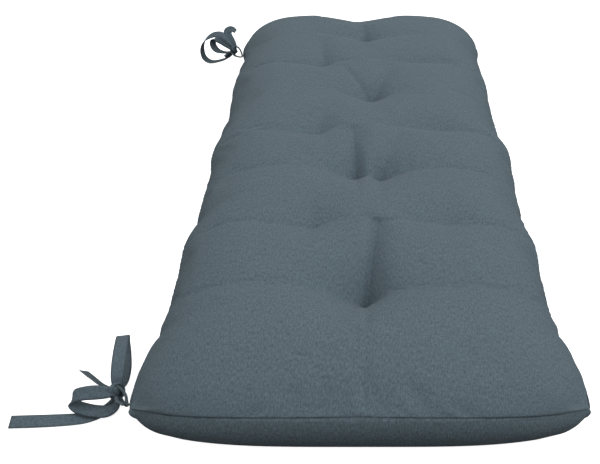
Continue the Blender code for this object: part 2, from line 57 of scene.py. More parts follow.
CLOTH_MAP = "cloth_metres"  # the cloth's own coordinates along its threads, in metres
Triple = tuple[float, float, float]

log = logging.getLogger("bench_cushion")


class Slot(Enum):
    """Names for two material slots, the cover's and the ties'."""

    COVER = "cover"
    TIES = "ties"


class Side(Enum):
    """The cushion's two panels."""

    UPPER = 1
    LOWER = -1


# ---------------------------------------------------------------- wiring shaders
class Wiring:
    """A node tree that is being wired. A socket fed to an input is linked, a plain value is set."""

    def __init__(self, tree: NodeTree) -> None:
        """Take the material's or the group's node tree to add to."""
        self.tree = tree

    def add(self, kind: str, fed: dict | None = None, **settings: object) -> Node:
        """Add one node.

        Args:
            kind: the node's type name without its "ShaderNode" start.
            fed: what feeds its inputs, by their names or numbers.
            settings: properties to set on the node.

        Returns:
            The new node.
        """
        node = self.tree.nodes.new("ShaderNode" + kind)
        for name, value in settings.items():
            setattr(node, name, value)
        self.feed(node, fed or {})
        return node

    def feed(self, node: Node, fed: dict) -> None:
        """Feed a node's inputs.

        Args:
            node: the node.
            fed: what feeds its inputs, by their names or numbers.
        """
        for name, value in fed.items():
            if isinstance(value, NodeSocket):
                self.tree.links.new(value, node.inputs[name])
            else:
                node.inputs[name].default_value = value

    def math(self, operation: str, *values: object) -> NodeSocket:
        """The result of a Math node that these values feed."""
        return self.add("Math", dict(enumerate(values)), operation=operation).outputs[0]

    def times(self, value: object, factor: object, plus: object = 0.0) -> NodeSocket:
        """A value times a factor, plus another value."""
        return self.math("MULTIPLY_ADD", value, factor, plus)

    def point(self, *values: object) -> NodeSocket:
        """A vector of two or three values."""
        return self.add("CombineXYZ", dict(enumerate(values))).outputs[0]

    def split(self, vector: NodeSocket) -> list[NodeSocket]:
        """A vector's three values."""
        return self.add("SeparateXYZ", {0: vector}).outputs[:]

    def noise(self, at: NodeSocket, scale: float, octaves: float) -> NodeSocket:
        """Noise from -1 to 1 at a vector, with this many grains to one unit."""
        node = self.add("TexNoise", {"Vector": at, "Scale": scale, "Detail": octaves}, noise_dimensions="3D")
        return self.times(node.outputs["Fac"], 2.0, -1.0)

    def mix(self, share: object, first: object, second: object) -> NodeSocket:
        """A number between two others: the first where the share is 0."""
        return self.add("Mix", {0: share, 2: first, 3: second}).outputs[0]

    def mix_colours(self, share: object, first: Triple, second: Triple) -> NodeSocket:
        """A colour between two others: the first where the share is 0."""
        fed = {0: share, 6: (*first, 1.0), 7: (*second, 1.0)}
        return self.add("Mix", fed, data_type="RGBA").outputs[2]


class Grain(NamedTuple):
    """A layer of noise over the threads: its grains to a thread each way, its slice and octaves."""

    across: float
    along: float
    slice: float
    octaves: float


class WeaveGroup:
    """The plain weave that cover and ties share: yarns over and under, slubs and flecks, and painted shade in
    the gaps between the yarns.
    """

    NAME = "plain_weave"
    INPUTS = {"Thread Pitch": 0.0006, "Yarn Contrast": 0.15, "Slub Contrast": 0.15, "Fleck Contrast": 0.15}
    OUTPUTS = ("Tone", "Relief", "Fuzz")
    CROSSING = 1.6  # how sharply the warp's and the weft's turns on top part
    YARN_GRAINS = 0.9  # from one yarn to the next
    YARN_CHANGE = 0.035  # along one yarn, to a thread
    WEFT_SLICE = 9.0
    # slubs of the warp, slubs of the weft, and flecks
    GRAINS = (Grain(0.42, 0.11, 4.0, 2.0), Grain(0.13, 0.42, 6.0, 2.0), Grain(0.50, 0.20, 2.0, 1.0))
    WEFT_SLUBS = 0.4  # beside the warp's
    ROUNDNESS = 0.6
    DIP = 0.6  # how far a yarn dips where it crosses under
    # painted shade: the tone is 0.84 of its own at the bottom of the gaps between the yarns and rises by up
    # to 0.24 with the relief
    PAINTED_GAP_SHADE = 0.84
    PAINTED_GAP_SHADE_RISE = 0.24
    SLUB_RELIEF = 0.35

    def build(self) -> NodeTree:
        """Build the group, if it isn't there yet.

        Returns:
            The group's node tree.
        """
        known = bpy.data.node_groups.get(self.NAME)
        if known:
            return known
        group = bpy.data.node_groups.new(self.NAME, "ShaderNodeTree")
        group.interface.new_socket("Cloth", in_out="INPUT", socket_type="NodeSocketVector")
        for name, value in self.INPUTS.items():
            socket = group.interface.new_socket(name, in_out="INPUT", socket_type="NodeSocketFloat")
            socket.default_value = value
        for name in self.OUTPUTS:
            group.interface.new_socket(name, in_out="OUTPUT", socket_type="NodeSocketFloat")
        self._wire(Wiring(group))
        return group

    def _wire(self, wiring: Wiring) -> None:
        """Wire the weave's tone, with painted shade in the gaps between its yarns, and its relief and fuzz.

        Args:
            wiring: the group's wiring.
        """
        given = wiring.tree.nodes.new("NodeGroupInput").outputs
        place = wiring.split(given["Cloth"])
        across, along = (wiring.math("DIVIDE", value, given["Thread Pitch"]) for value in place[:2])
        waves = [wiring.math("SINE", wiring.times(value, math.pi)) for value in (across, along)]
        warp_on_top = wiring.times(wiring.times(*waves), self.CROSSING, 0.5)
        warp_on_top.node.use_clamp = True

        warp_at = wiring.point(wiring.math("FLOOR", across), wiring.times(along, self.YARN_CHANGE))
        weft_at = wiring.point(
            wiring.times(across, self.YARN_CHANGE), wiring.math("FLOOR", along), self.WEFT_SLICE
        )
        warp, weft = (wiring.noise(at, self.YARN_GRAINS, 1.0) for at in (warp_at, weft_at))
        layers = []
        for grain in self.GRAINS:
            stretched = wiring.times(across, grain.across), wiring.times(along, grain.along)
            layers.append(wiring.noise(wiring.point(*stretched, grain.slice), 1.0, grain.octaves))
        warp_slub, weft_slub, fleck = layers
        slub = wiring.times(weft_slub, self.WEFT_SLUBS, warp_slub)
        tone = wiring.times(wiring.mix(warp_on_top, weft, warp), given["Yarn Contrast"], 1.0)
        tone = wiring.times(slub, given["Slub Contrast"], tone)
        tone = wiring.times(fleck, given["Fleck Contrast"], tone)

        rounds = [wiring.math("POWER", wiring.math("ABSOLUTE", wave), self.ROUNDNESS) for wave in waves]
        dips = [wiring.times(rounded, self.DIP, 1 - self.DIP) for rounded in rounds]
        warp_relief, weft_relief = wiring.times(rounds[0], dips[1]), wiring.times(rounds[1], dips[0])
        relief = wiring.mix(warp_on_top, weft_relief, warp_relief)
        # the Tone output carries painted shade: it is darker where the relief is low, in the gaps between the
        # yarns
        wiring.feed(wiring.tree.nodes.new("NodeGroupOutput"), {
            "Tone": wiring.times(tone, wiring.times(relief, self.PAINTED_GAP_SHADE_RISE, self.PAINTED_GAP_SHADE)),
            "Relief": wiring.times(slub, self.SLUB_RELIEF, relief),
            "Fuzz": wiring.times(fleck, 0.5, 0.5),
        })


# ---------------------------------------------------------------- finishes
def new_material(name: str) -> tuple[Material, Wiring, Node]:
    """Start a material.

    Args:
        name: its name.

    Returns:
        The material, its wiring and its surface shader.
    """
    material = bpy.data.materials.new(name)
    material.use_nodes = True
    return material, Wiring(material.node_tree), material.node_tree.nodes["Principled BSDF"]


@dataclass(frozen=True)
class MelangeCanvas:
    """Matte plain-woven canvas in slate yarns of slightly different tones."""

    name: str
    dark: Triple
    light: Triple
    thread_pitch: float = 0.00062
    yarn_contrast: float = 0.38
    slub_contrast: float = 0.52
    fleck_contrast: float = 0.46
    relief: float = 0.00022
    relief_strength: float = 0.7
    roughness: float = 0.93
    fuzz: float = 0.08
    specular: float = 0.22
    sheen: float = 0.06
    sheen_roughness: float = 0.5

    def material(self) -> Material:
        """Build the canvas.

        Returns:
            The material.
        """
        material, wiring, surface = new_material(self.name)
        weave = wiring.add("Group", {
            "Cloth": wiring.add("UVMap", uv_map=CLOTH_MAP).outputs[0],
            "Thread Pitch": self.thread_pitch,
            "Yarn Contrast": self.yarn_contrast,
            "Slub Contrast": self.slub_contrast,
            "Fleck Contrast": self.fleck_contrast,
        }, node_tree=WeaveGroup().build()).outputs
        bump = wiring.add("Bump", {
            "Distance": self.relief, "Strength": self.relief_strength, "Height": weave["Relief"],
        })
        # base colour: slate yarns of different tones, with painted shade in the weave's gaps carried by the
        # tone
        wiring.feed(surface, {
            "Base Color": wiring.mix_colours(wiring.times(weave["Tone"], 1.0, -0.5), self.dark, self.light),
            "Roughness": wiring.times(weave["Fuzz"], self.fuzz, self.roughness - self.fuzz / 2),
            "Normal": bump.outputs[0],
            "Specular IOR Level": self.specular,
            "Sheen Weight": self.sheen,
            "Sheen Roughness": self.sheen_roughness,
        })
        return material


@dataclass(frozen=True)
class SewingThread:
    """Twisted polyester thread, a shade lighter than the canvas."""

    name: str = "slate_sewing_thread"
    colour: Triple = (0.120, 0.158, 0.182)
    shade: float = 0.72
    twist_pitch: float = 0.0009
    bands_to_a_twist: float = 3.0
    relief: float = 0.0001
    roughness: float = 0.6

    def material(self) -> Material:
        """Build the thread.

        Returns:
            The material.
        """
        material, wiring, surface = new_material(self.name)
        twist = wiring.add("TexWave", {
            "Vector": wiring.add("TexCoord").outputs["Object"],
            "Scale": 1.0 / self.twist_pitch / self.bands_to_a_twist,
        }, wave_type="BANDS", bands_direction="DIAGONAL").outputs["Fac"]
        shaded = tuple(self.shade * part for part in self.colour)
        wiring.feed(surface, {
            "Base Color": wiring.mix_colours(twist, shaded, self.colour),
            "Normal": wiring.add("Bump", {"Distance": self.relief, "Height": twist}).outputs[0],
            "Roughness": self.roughness,
        })
        return material


# ---------------------------------------------------------------- mesh helpers
def add_piece(
    name: str,
    points: Array,
    faces: Sequence[Sequence[int]],
    cloth: Array,
    materials: Sequence[Material],
    finish_of_face: Sequence[int] | None = None,
) -> Object:
    """Make a smooth-shaded object of a mesh with its cloth map.

    Args:
        name: the object's name.
        points: vertices, one row each.
        faces: vertex numbers of each face.
        cloth: cloth coordinates of each vertex, in metres.
        materials: the object's materials.
        finish_of_face: which material each face takes.

    Returns:
        The object, linked to the scene.
    """
    mesh = bpy.data.meshes.new(name)
    mesh.from_pydata([tuple(point) for point in points], [], [tuple(face) for face in faces])
    layer = mesh.uv_layers.new(name=CLOTH_MAP)
    corners = np.empty(len(mesh.loops), dtype=np.int32)
    mesh.loops.foreach_get("vertex_index", corners)
    layer.data.foreach_set("uv", np.asarray(cloth, np.float32)[corners].ravel())
    for material in materials:
        mesh.materials.append(material)
    if finish_of_face is not None:
        mesh.polygons.foreach_set("material_index", np.asarray(finish_of_face, np.int32))
    mesh.shade_smooth()
    mesh.update()
    return add_object(name, mesh)


def add_object(name: str, data: bpy.types.ID) -> Object:
    """Link a new object to the scene.

    Args:
        name: its name.
        data: its mesh, light or camera.

    Returns:
        The object.
    """
    made = bpy.data.objects.new(name, data)
    bpy.context.scene.collection.objects.link(made)
    return made


def spline(values: Sequence[Sequence[float]], steps: int) -> Array:
    """Rows on a smooth curve through the given rows (Catmull-Rom).

    Args:
        values: the rows to pass through.
        steps: how many rows each stretch between two of them gives.

    Returns:
        The denser rows.
    """
    rows = np.array(values, float)
    padded = np.vstack([2 * rows[0] - rows[1], rows, 2 * rows[-1] - rows[-2]])
    found = []
    for a, b, c, d in zip(padded, padded[1:], padded[2:], padded[3:]):
        for t in np.arange(steps) / steps:
            cubic = 2 * b + (c - a) * t + (2 * a - 5 * b + 4 * c - d) * t**2
            found.append(0.5 * (cubic + (3 * b - a - 3 * c + d) * t**3))
    found.append(rows[-1])
    return np.array(found)


def walked(panel: Array, axis: int) -> Array:
    """Lengths over a grid of points from its first line on, walked along an axis."""
    steps = np.linalg.norm(np.diff(panel, axis=axis), axis=2)
    return np.pad(np.cumsum(steps, axis=axis), [(1, 0), (0, 0)] if axis == 0 else [(0, 0), (1, 0)])


def tube_faces(rings: int, around: int) -> list[tuple[int, ...]]:
    """Faces of a tube of rings of points, with both its ends closed.

    Args:
        rings: how many rings.
        around: how many points each.

    Returns:
        The faces' point numbers.
    """
    faces = []
    for ring in range(rings - 1):
        for k in range(around):
            first, second = ring * around + k, ring * around + (k + 1) % around
            faces.append((first, second, second + around, first + around))
    faces.append(tuple(reversed(range(around))))
    faces.append(tuple(range((rings - 1) * around, rings * around)))
    return faces


def between(first: Array, second: Array, share: Array) -> Array:
    """A value between two others: the first where the share is 0."""
    return first + (second - first) * share


def fading(gap: Array, reach: float | Array, power: float) -> Array:
    """A pull's share at distances of either sign: 1 at none, and less outwards."""
    return np.exp(-((np.abs(gap) / reach) ** power))


# ---------------------------------------------------------------- the cushion
class End(NamedTuple):
    """A short end: how far it bows out, its seam's height, and its bay's crest and crown."""

    bow: float
    seam_height: float
    crest: float
    crown: float


class Pinch(NamedTuple):
    """A place where a long side is drawn in at the seam: left side -1, right side 1."""

    x_sign: int
    y: float
    depth: float
    reach: float


class Notch(NamedTuple):
    """A pinch in the far end: its middle, its depth, its reach each way and its bluntness."""

    x: float
    y: float
    depth: float
    across: float
    along: float
    power: float


class Reach(NamedTuple):
    """How far a pull reaches to one side, and how bluntly it fades: 1 is a cusp, 2 is round."""

    length: float
    power: float


class Tuft(NamedTuple):
    """One tuft: its row, its place across, its depth and how far it draws the panel down."""

    row: int
    x: float
    depth: float
    left: Reach
    right: Reach
    near: Reach
    far: Reach


class Fold(NamedTuple):
    """A fold that runs from a row of tufts towards the far end, steeper on one side."""

    row: int
    start: float
    end: float
    share: float
    depth: float
    left: float
    right: float
    fade: float


class Wrinkle(NamedTuple):
    """A shallow straight wrinkle between two places on the upper panel."""

    start: tuple[float, float]
    end: tuple[float, float]
    depth: float
    width: float


TUFTS = (
    Tuft(1, 0.0075, 0.037, Reach(0.058, 1.9), Reach(0.030, 1.1), Reach(0.047, 1.7), Reach(0.048, 1.5)),
    Tuft(2, -0.066, 0.012, Reach(0.040, 1.3), Reach(0.024, 1.2), Reach(0.026, 1.4), Reach(0.032, 1.3)),
    Tuft(2, 0.124, 0.008, Reach(0.036, 1.2), Reach(0.044, 1.2), Reach(0.026, 1.4), Reach(0.026, 1.2)),
    Tuft(3, 0.030, 0.021, Reach(0.018, 1.4), Reach(0.040, 1.2), Reach(0.042, 1.7), Reach(0.036, 1.5)),
    Tuft(3, -0.006, 0.017, Reach(0.050, 2.2), Reach(0.014, 1.4), Reach(0.040, 1.7), Reach(0.036, 1.5)),
    Tuft(4, -0.066, 0.011, Reach(0.044, 1.4), Reach(0.018, 1.3), Reach(0.026, 1.4), Reach(0.038, 1.3)),
    Tuft(4, 0.132, 0.007, Reach(0.036, 1.2), Reach(0.044, 1.2), Reach(0.024, 1.4), Reach(0.024, 1.2)),
    Tuft(5, 0.023, 0.020, Reach(0.040, 1.6), Reach(0.030, 1.2), Reach(0.036, 1.7), Reach(0.034, 1.5)),
    Tuft(6, -0.072, 0.008, Reach(0.024, 1.2), Reach(0.022, 1.2), Reach(0.024, 1.4), Reach(0.026, 1.2)),
    Tuft(6, 0.160, 0.006, Reach(0.040, 1.2), Reach(0.036, 1.2), Reach(0.022, 1.4), Reach(0.022, 1.2)),
    Tuft(7, 0.011, 0.012, Reach(0.030, 1.4), Reach(0.030, 1.2), Reach(0.030, 1.6), Reach(0.026, 1.4)),
)

FOLDS = (
    Fold(1, 0.0085, 0.0225, 1.00, 0.016, 0.006, 0.014, 0.22),
    Fold(3, -0.006, -0.013, 0.95, 0.015, 0.009, 0.011, 0.45),
    Fold(3, 0.029, 0.066, 0.95, 0.009, 0.008, 0.026, 0.60),
    Fold(5, 0.024, 0.060, 0.88, 0.011, 0.007, 0.017, 0.50),
    Fold(5, 0.018, -0.038, 0.84, 0.006, 0.010, 0.009, 0.60),
    Fold(6, -0.070, -0.078, 0.85, 0.008, 0.011, 0.011, 0.50),
    Fold(7, 0.011, 0.007, 0.60, 0.011, 0.008, 0.013, 0.50),
    Fold(4, -0.074, -0.054, 0.60, 0.005, 0.022, 0.016, 0.80),
    Fold(2, -0.062, -0.070, 0.45, 0.003, 0.020, 0.020, 0.90),
)

# How strongly each row is creased from its left edge to its right one; 1 is the form's own depth.
CREASES = (
    (0.9, 0.7, 1.0, 1.0, 1.2),
    (0.6, 0.7, 0.0, 1.0, 1.2),
    (0.9, 0.3, 1.0, 0.8, 1.0),
    (0.5, 0.5, 0.0, 1.0, 1.0),
    (0.1, 0.0, 0.8, 0.1, 0.2),
    (0.2, 0.7, 0.0, 1.0, 0.4),
    (0.1, 0.0, 0.7, 0.3, 0.1),
)

# How far each crease strays from its row towards the near end, from left to right, in mm.
STRAYS = (
    (6, 7, 2, 10, 8),
    (8, 13, 7, 7, 6),
    (2, 2, 0, 0, 2),
    (18, 20, 6, 6, 9),
    (4, 6, 12, 6, 6),
    (14, 18, 9, 6, 2),
    (10, 12, 16, 12, 10),
)

PINCHES = (
    Pinch(-1, -0.461, 0.0070, 0.013),
    Pinch(-1, -0.217, 0.0048, 0.013),
    Pinch(-1, 0.109, 0.0024, 0.013),
    Pinch(-1, 0.396, 0.0025, 0.013),
    Pinch(1, -0.462, 0.0060, 0.013),
    Pinch(1, -0.196, 0.0036, 0.013),
    Pinch(1, 0.030, 0.0038, 0.013),
    Pinch(1, 0.396, 0.0015, 0.013),
)

NOTCHES = (
    Notch(-0.003, 0.584, 0.045, 0.052, 0.070, 1.6),
    Notch(-0.0125, 0.590, 0.012, 0.013, 0.060, 1.5),
)

WRINKLES = (
    Wrinkle((-0.054, -0.405), (-0.122, -0.345), 0.0010, 0.008),
    Wrinkle((0.045, -0.400), (0.105, -0.352), 0.0008, 0.008),
    Wrinkle((0.060, -0.130), (0.118, -0.085), 0.0010, 0.008),
    Wrinkle((-0.040, -0.130), (-0.100, -0.098), 0.0008, 0.008),
    Wrinkle((-0.086, -0.012), (-0.140, -0.045), 0.0008, 0.008),
    Wrinkle((0.055, 0.130), (0.120, 0.110), 0.0008, 0.008),
)


@dataclass
class CushionForm:
    """The stuffed envelope as heights over its plan."""

    seam_length: float = 1.150
    seam_width: float = 0.500
    near_end: End = End(bow=0.035, seam_height=0.065, crest=0.0855, crown=0.015)
    far_end: End = End(bow=0.021, seam_height=0.060, crest=0.0865, crown=0.014)
    end_bow_power: float = 3.7
    end_bow_start: float = 3.2
    corner_tuck: float = 0.003
    under_corner_tuck: float = 0.0012
    corner_tuck_powers: tuple[float, float] = (12, 40)
    far_corner_tucks: tuple[float, float] = (0.0105, 0.0488)
    far_corner_tuck_powers: tuple[float, float] = (5.7, 6.6)
    corner_seam_height: float = 0.038
    side_seam_height: float = 0.036
    row_pitch: float = 0.1378
    row_count: int = 7
    crest_height: float = 0.0955
    crown: float = 0.003
    left_widths: tuple[float, ...] = (
        0.2563, 0.2520, 0.2439, 0.2455, 0.2494, 0.2431, 0.2439, 0.2442, 0.2516,
        0.2471, 0.2424, 0.2468, 0.2517, 0.2503, 0.2474, 0.2584, 0.2558,
    )
    right_widths: tuple[float, ...] = (
        0.2552, 0.2496, 0.2405, 0.2426, 0.2478, 0.2431, 0.2430, 0.2484, 0.2535,
        0.2443, 0.2442, 0.2461, 0.2506, 0.2497, 0.2506, 0.2591, 0.2611,
    )
    side_rounding: float = 0.112
    end_rounding: float = 0.088
    edge_blend: float = 0.5
    end_rise_power: float = 10
    end_rise_shape: float = 3.0
    notch_on_seam: float = 0.2
    side_seam_angle: float = math.radians(12)
    end_seam_angle: float = math.radians(48)
    under_side_angle: float = math.radians(12)
    under_end_angle: float = math.radians(31)
    belly_radius: float = 0.044
    table_span: float = 0.8
    crease_depth: float = 0.0065
    crease_sharpness: float = 2.2
    crease_fade: float = 0.35
    nip_depth: float = 0.0009
    nip_width: float = 0.0050
    nip_fade: float = 0.6
    nip_power: float = 1.1
    pinch_power: float = 1.3
    fold_power: float = 1.25
    fold_start: float = 9.0
    wrinkle_power: float = 1.4
    under_tuft_depth: float = 0.012
    under_tuft_reach: float = 0.024
    under_slack: float = 0.0015

    def at_end(self, y: Array, size: str) -> Array:
        """One of an end's sizes, by its name: the near end's where y is negative."""
        return np.where(y < 0, getattr(self.near_end, size), getattr(self.far_end, size))

    def rows(self) -> Array:
        """Where each row of tufts lies along Y."""
        return (np.arange(self.row_count) - (self.row_count - 1) / 2) * self.row_pitch

    def row_place(self, y: Array) -> Array:
        """Places along, counted in rows: 0 at the nearest row and before it."""
        return np.clip(y / self.row_pitch + (self.row_count - 1) / 2, 0, self.row_count - 1)

    def half_width(self, x_sign: Array, y: Array) -> Array:
        """The seam's distance from the middle line.

        Args:
            x_sign: -1 for places left of the middle line, 1 for places right of it.
            y: places along the cushion.

        Returns:
            Half the width there.
        """
        last = len(self.left_widths) - 1
        place = np.clip(2 * y / self.row_pitch + last / 2, 0, last)
        step = np.floor(place)
        eased = step + (1 - np.cos(math.pi * (place - step))) / 2
        both = (self.left_widths, self.right_widths)
        left, right = (np.interp(eased, np.arange(last + 1), widths) for widths in both)
        half = between(left, right, (1 + x_sign) / 2)
        for pinch in PINCHES:
            drawn = pinch.depth * fading(y - pinch.y, pinch.reach, self.pinch_power)
            half = half - np.where(x_sign * pinch.x_sign > 0, drawn, 0.0)
        return half

    def bay_arch(self, y: Array) -> Array:
        """0 in a row's valley and 1 at the crest between two rows, and on past the last rows.

        Args:
            y: places along the cushion.

        Returns:
            The share of the crest's rise.
        """
        last_row = self.rows()[-1]
        inner = 1 - np.abs(2 * (self.row_place(y) % 1.0) - 1) ** self.crease_sharpness
        past = np.maximum(np.abs(y) - last_row, 0) / (self.row_pitch / 2)
        outer = 1 - (1 - np.clip(past, 0, 1)) ** self.crease_sharpness
        return np.where(np.abs(y) > last_row, outer, inner)

    def tuft_depth(self, x: Array, y: Array) -> Array:
        """How far the tufts draw the upper panel down.

        Args:
            x: places across.
            y: places along.

        Returns:
            The depth below the bays' own form.
        """
        depth = np.zeros_like(x)
        for tuft in TUFTS:
            dx, dy = x - tuft.x, y - self.rows()[tuft.row - 1]
            across = np.where(dx < 0, fading(dx, *tuft.left), fading(dx, *tuft.right))
            along = np.where(dy < 0, fading(dy, *tuft.near), fading(dy, *tuft.far))
            depth += tuft.depth * across * along
        return depth

    def across_row(self, table: Sequence[Sequence[float]], x: Array) -> Array:
        """Each row's value of a table at places across, eased between the table's columns.

        Args:
            table: a line for each row, with values from its left edge to its right one.
            x: places across.

        Returns:
            An array of rows and places.
        """
        last = len(table[0]) - 1
        place = np.clip((x / (self.seam_width / 2) / self.table_span + 1) / 2, 0, 1) * last
        step = np.clip(np.floor(place), 0, last - 1)
        part = place - step
        eased = step + part * part * (3 - 2 * part)
        return np.array([np.interp(eased, np.arange(last + 1), row) for row in table])

    def strayed(self, x: Array, y: Array) -> Array:
        """Places along as the creases see them: a crease strays from its row.

        Args:
            x: places across.
            y: places along.

        Returns:
            The places along at which the straight creases would have the same height.
        """
        strays = self.across_row(STRAYS, x)
        place = self.row_place(y)
        before = np.clip(np.floor(place), 0, self.row_count - 2).astype(int)
        first, second = (np.take_along_axis(strays, row[None], axis=0)[0] for row in (before, before + 1))
        return y + between(first, second, place - before) * MM

    def creasing(self, x: Array, y: Array) -> Array:
        """How strongly the nearest row is creased at places across and along."""
        nearest = np.round(self.row_place(y)).astype(int)
        return np.take_along_axis(self.across_row(CREASES, x), nearest[None], axis=0)[0]

    def fold_depth(self, x: Array, y: Array) -> Array:
        """Depth of the folds between the rows.

        Args:
            x: places across.
            y: places along.

        Returns:
            The depth.
        """
        depth = np.zeros_like(x)
        for fold in FOLDS:
            share = (y - self.rows()[fold.row - 1]) / (fold.share * self.row_pitch)
            fade = np.clip(1 - share, 0, 1) ** fold.fade * np.clip(1 + share * self.fold_start, 0, 1)
            dx = x - between(fold.start, fold.end, np.clip(share, 0, 1))
            depth += fold.depth * fade * fading(dx, np.where(dx < 0, fold.left, fold.right), self.fold_power)
        return depth

    def wrinkle_depth(self, x: Array, y: Array) -> Array:
        """Depth of the shallow wrinkles.

        Args:
            x: places across.
            y: places along.

        Returns:
            The depth.
        """
        depth = np.zeros_like(x)
        for wrinkle in WRINKLES:
            dx, dy = x - wrinkle.start[0], y - wrinkle.start[1]
            run = np.subtract(wrinkle.end, wrinkle.start)
            length = float(np.hypot(*run))
            along = (dx * run[0] + dy * run[1]) / length**2
            aside = fading((dx * run[1] - dy * run[0]) / length, wrinkle.width, self.wrinkle_power)
            depth += wrinkle.depth * np.sin(math.pi * np.clip(along, 0, 1)) * aside
        return depth

    def notch(self, x: Array, y: Array) -> Array:
        """Depth of the pinch in the far end.

        Args:
            x: places across.
            y: places along.

        Returns:
            The depth.
        """
        depth = np.zeros_like(x)
        for notch in NOTCHES:
            across = fading(x - notch.x, notch.across, notch.power)
            depth += notch.depth * across * fading(y - notch.y, notch.along, 2)
        return depth

    def top(self, x: Array, y: Array) -> Array:
        """Height of the upper panel away from its rounded shoulders.

        Args:
            x: places across.
            y: places along.

        Returns:
            Heights.
        """
        across = np.clip(np.abs(x) / (self.seam_width / 2), 0, 1)
        blend = np.clip((np.abs(y) - self.rows()[-1]) / (self.row_pitch / 2), 0, 1)
        crest = between(self.crest_height, self.at_end(y, "crest"), blend)
        crown = between(self.crown, self.at_end(y, "crown"), blend)
        outer = np.clip(2 * across - 1, 0, 1)
        height = crest + crown * (1 - across**2) - self.notch(x, y)
        y = self.strayed(x, y)
        creasing = self.creasing(x, y)
        height -= self.crease_depth * (1 - self.crease_fade * outer) * creasing * (1 - self.bay_arch(y))
        nip = self.nip_depth * (1 - self.nip_fade * outer) * creasing
        for row in self.rows():
            height -= nip * fading(y - row, self.nip_width, self.nip_power)
        return height - self.tuft_depth(x, y) - self.fold_depth(x, y) - self.wrinkle_depth(x, y)

    def under(self, x: Array, y: Array) -> Array:
        """Height of the lower panel: flat, with a dimple at each tuft.

        Args:
            x: places across.
            y: places along.

        Returns:
            Heights.
        """
        lift = np.zeros_like(x)
        for tuft in TUFTS:
            far = np.hypot(x - tuft.x, y - self.rows()[tuft.row - 1])
            lift = np.maximum(lift, self.under_tuft_depth * fading(far, self.under_tuft_reach, 1))
        return np.maximum(lift - self.under_slack, 0.0)

    def seam_height(self, x: Array, y: Array) -> Array:
        """Height of the seam under or over a place.

        Args:
            x: places across.
            y: places along.

        Returns:
            Heights.
        """
        across = np.clip(x / (self.seam_width / 2), -1, 1)
        along = np.clip(y / (self.seam_length / 2), -1, 1)
        side = between(self.side_seam_height, self.corner_seam_height, along**2)
        end = 1 - np.abs(across) ** self.end_rise_shape
        rise = (self.at_end(y, "seam_height") - self.corner_seam_height) * end
        return side + rise * np.abs(along) ** self.end_rise_power - self.notch_on_seam * self.notch(x, y)


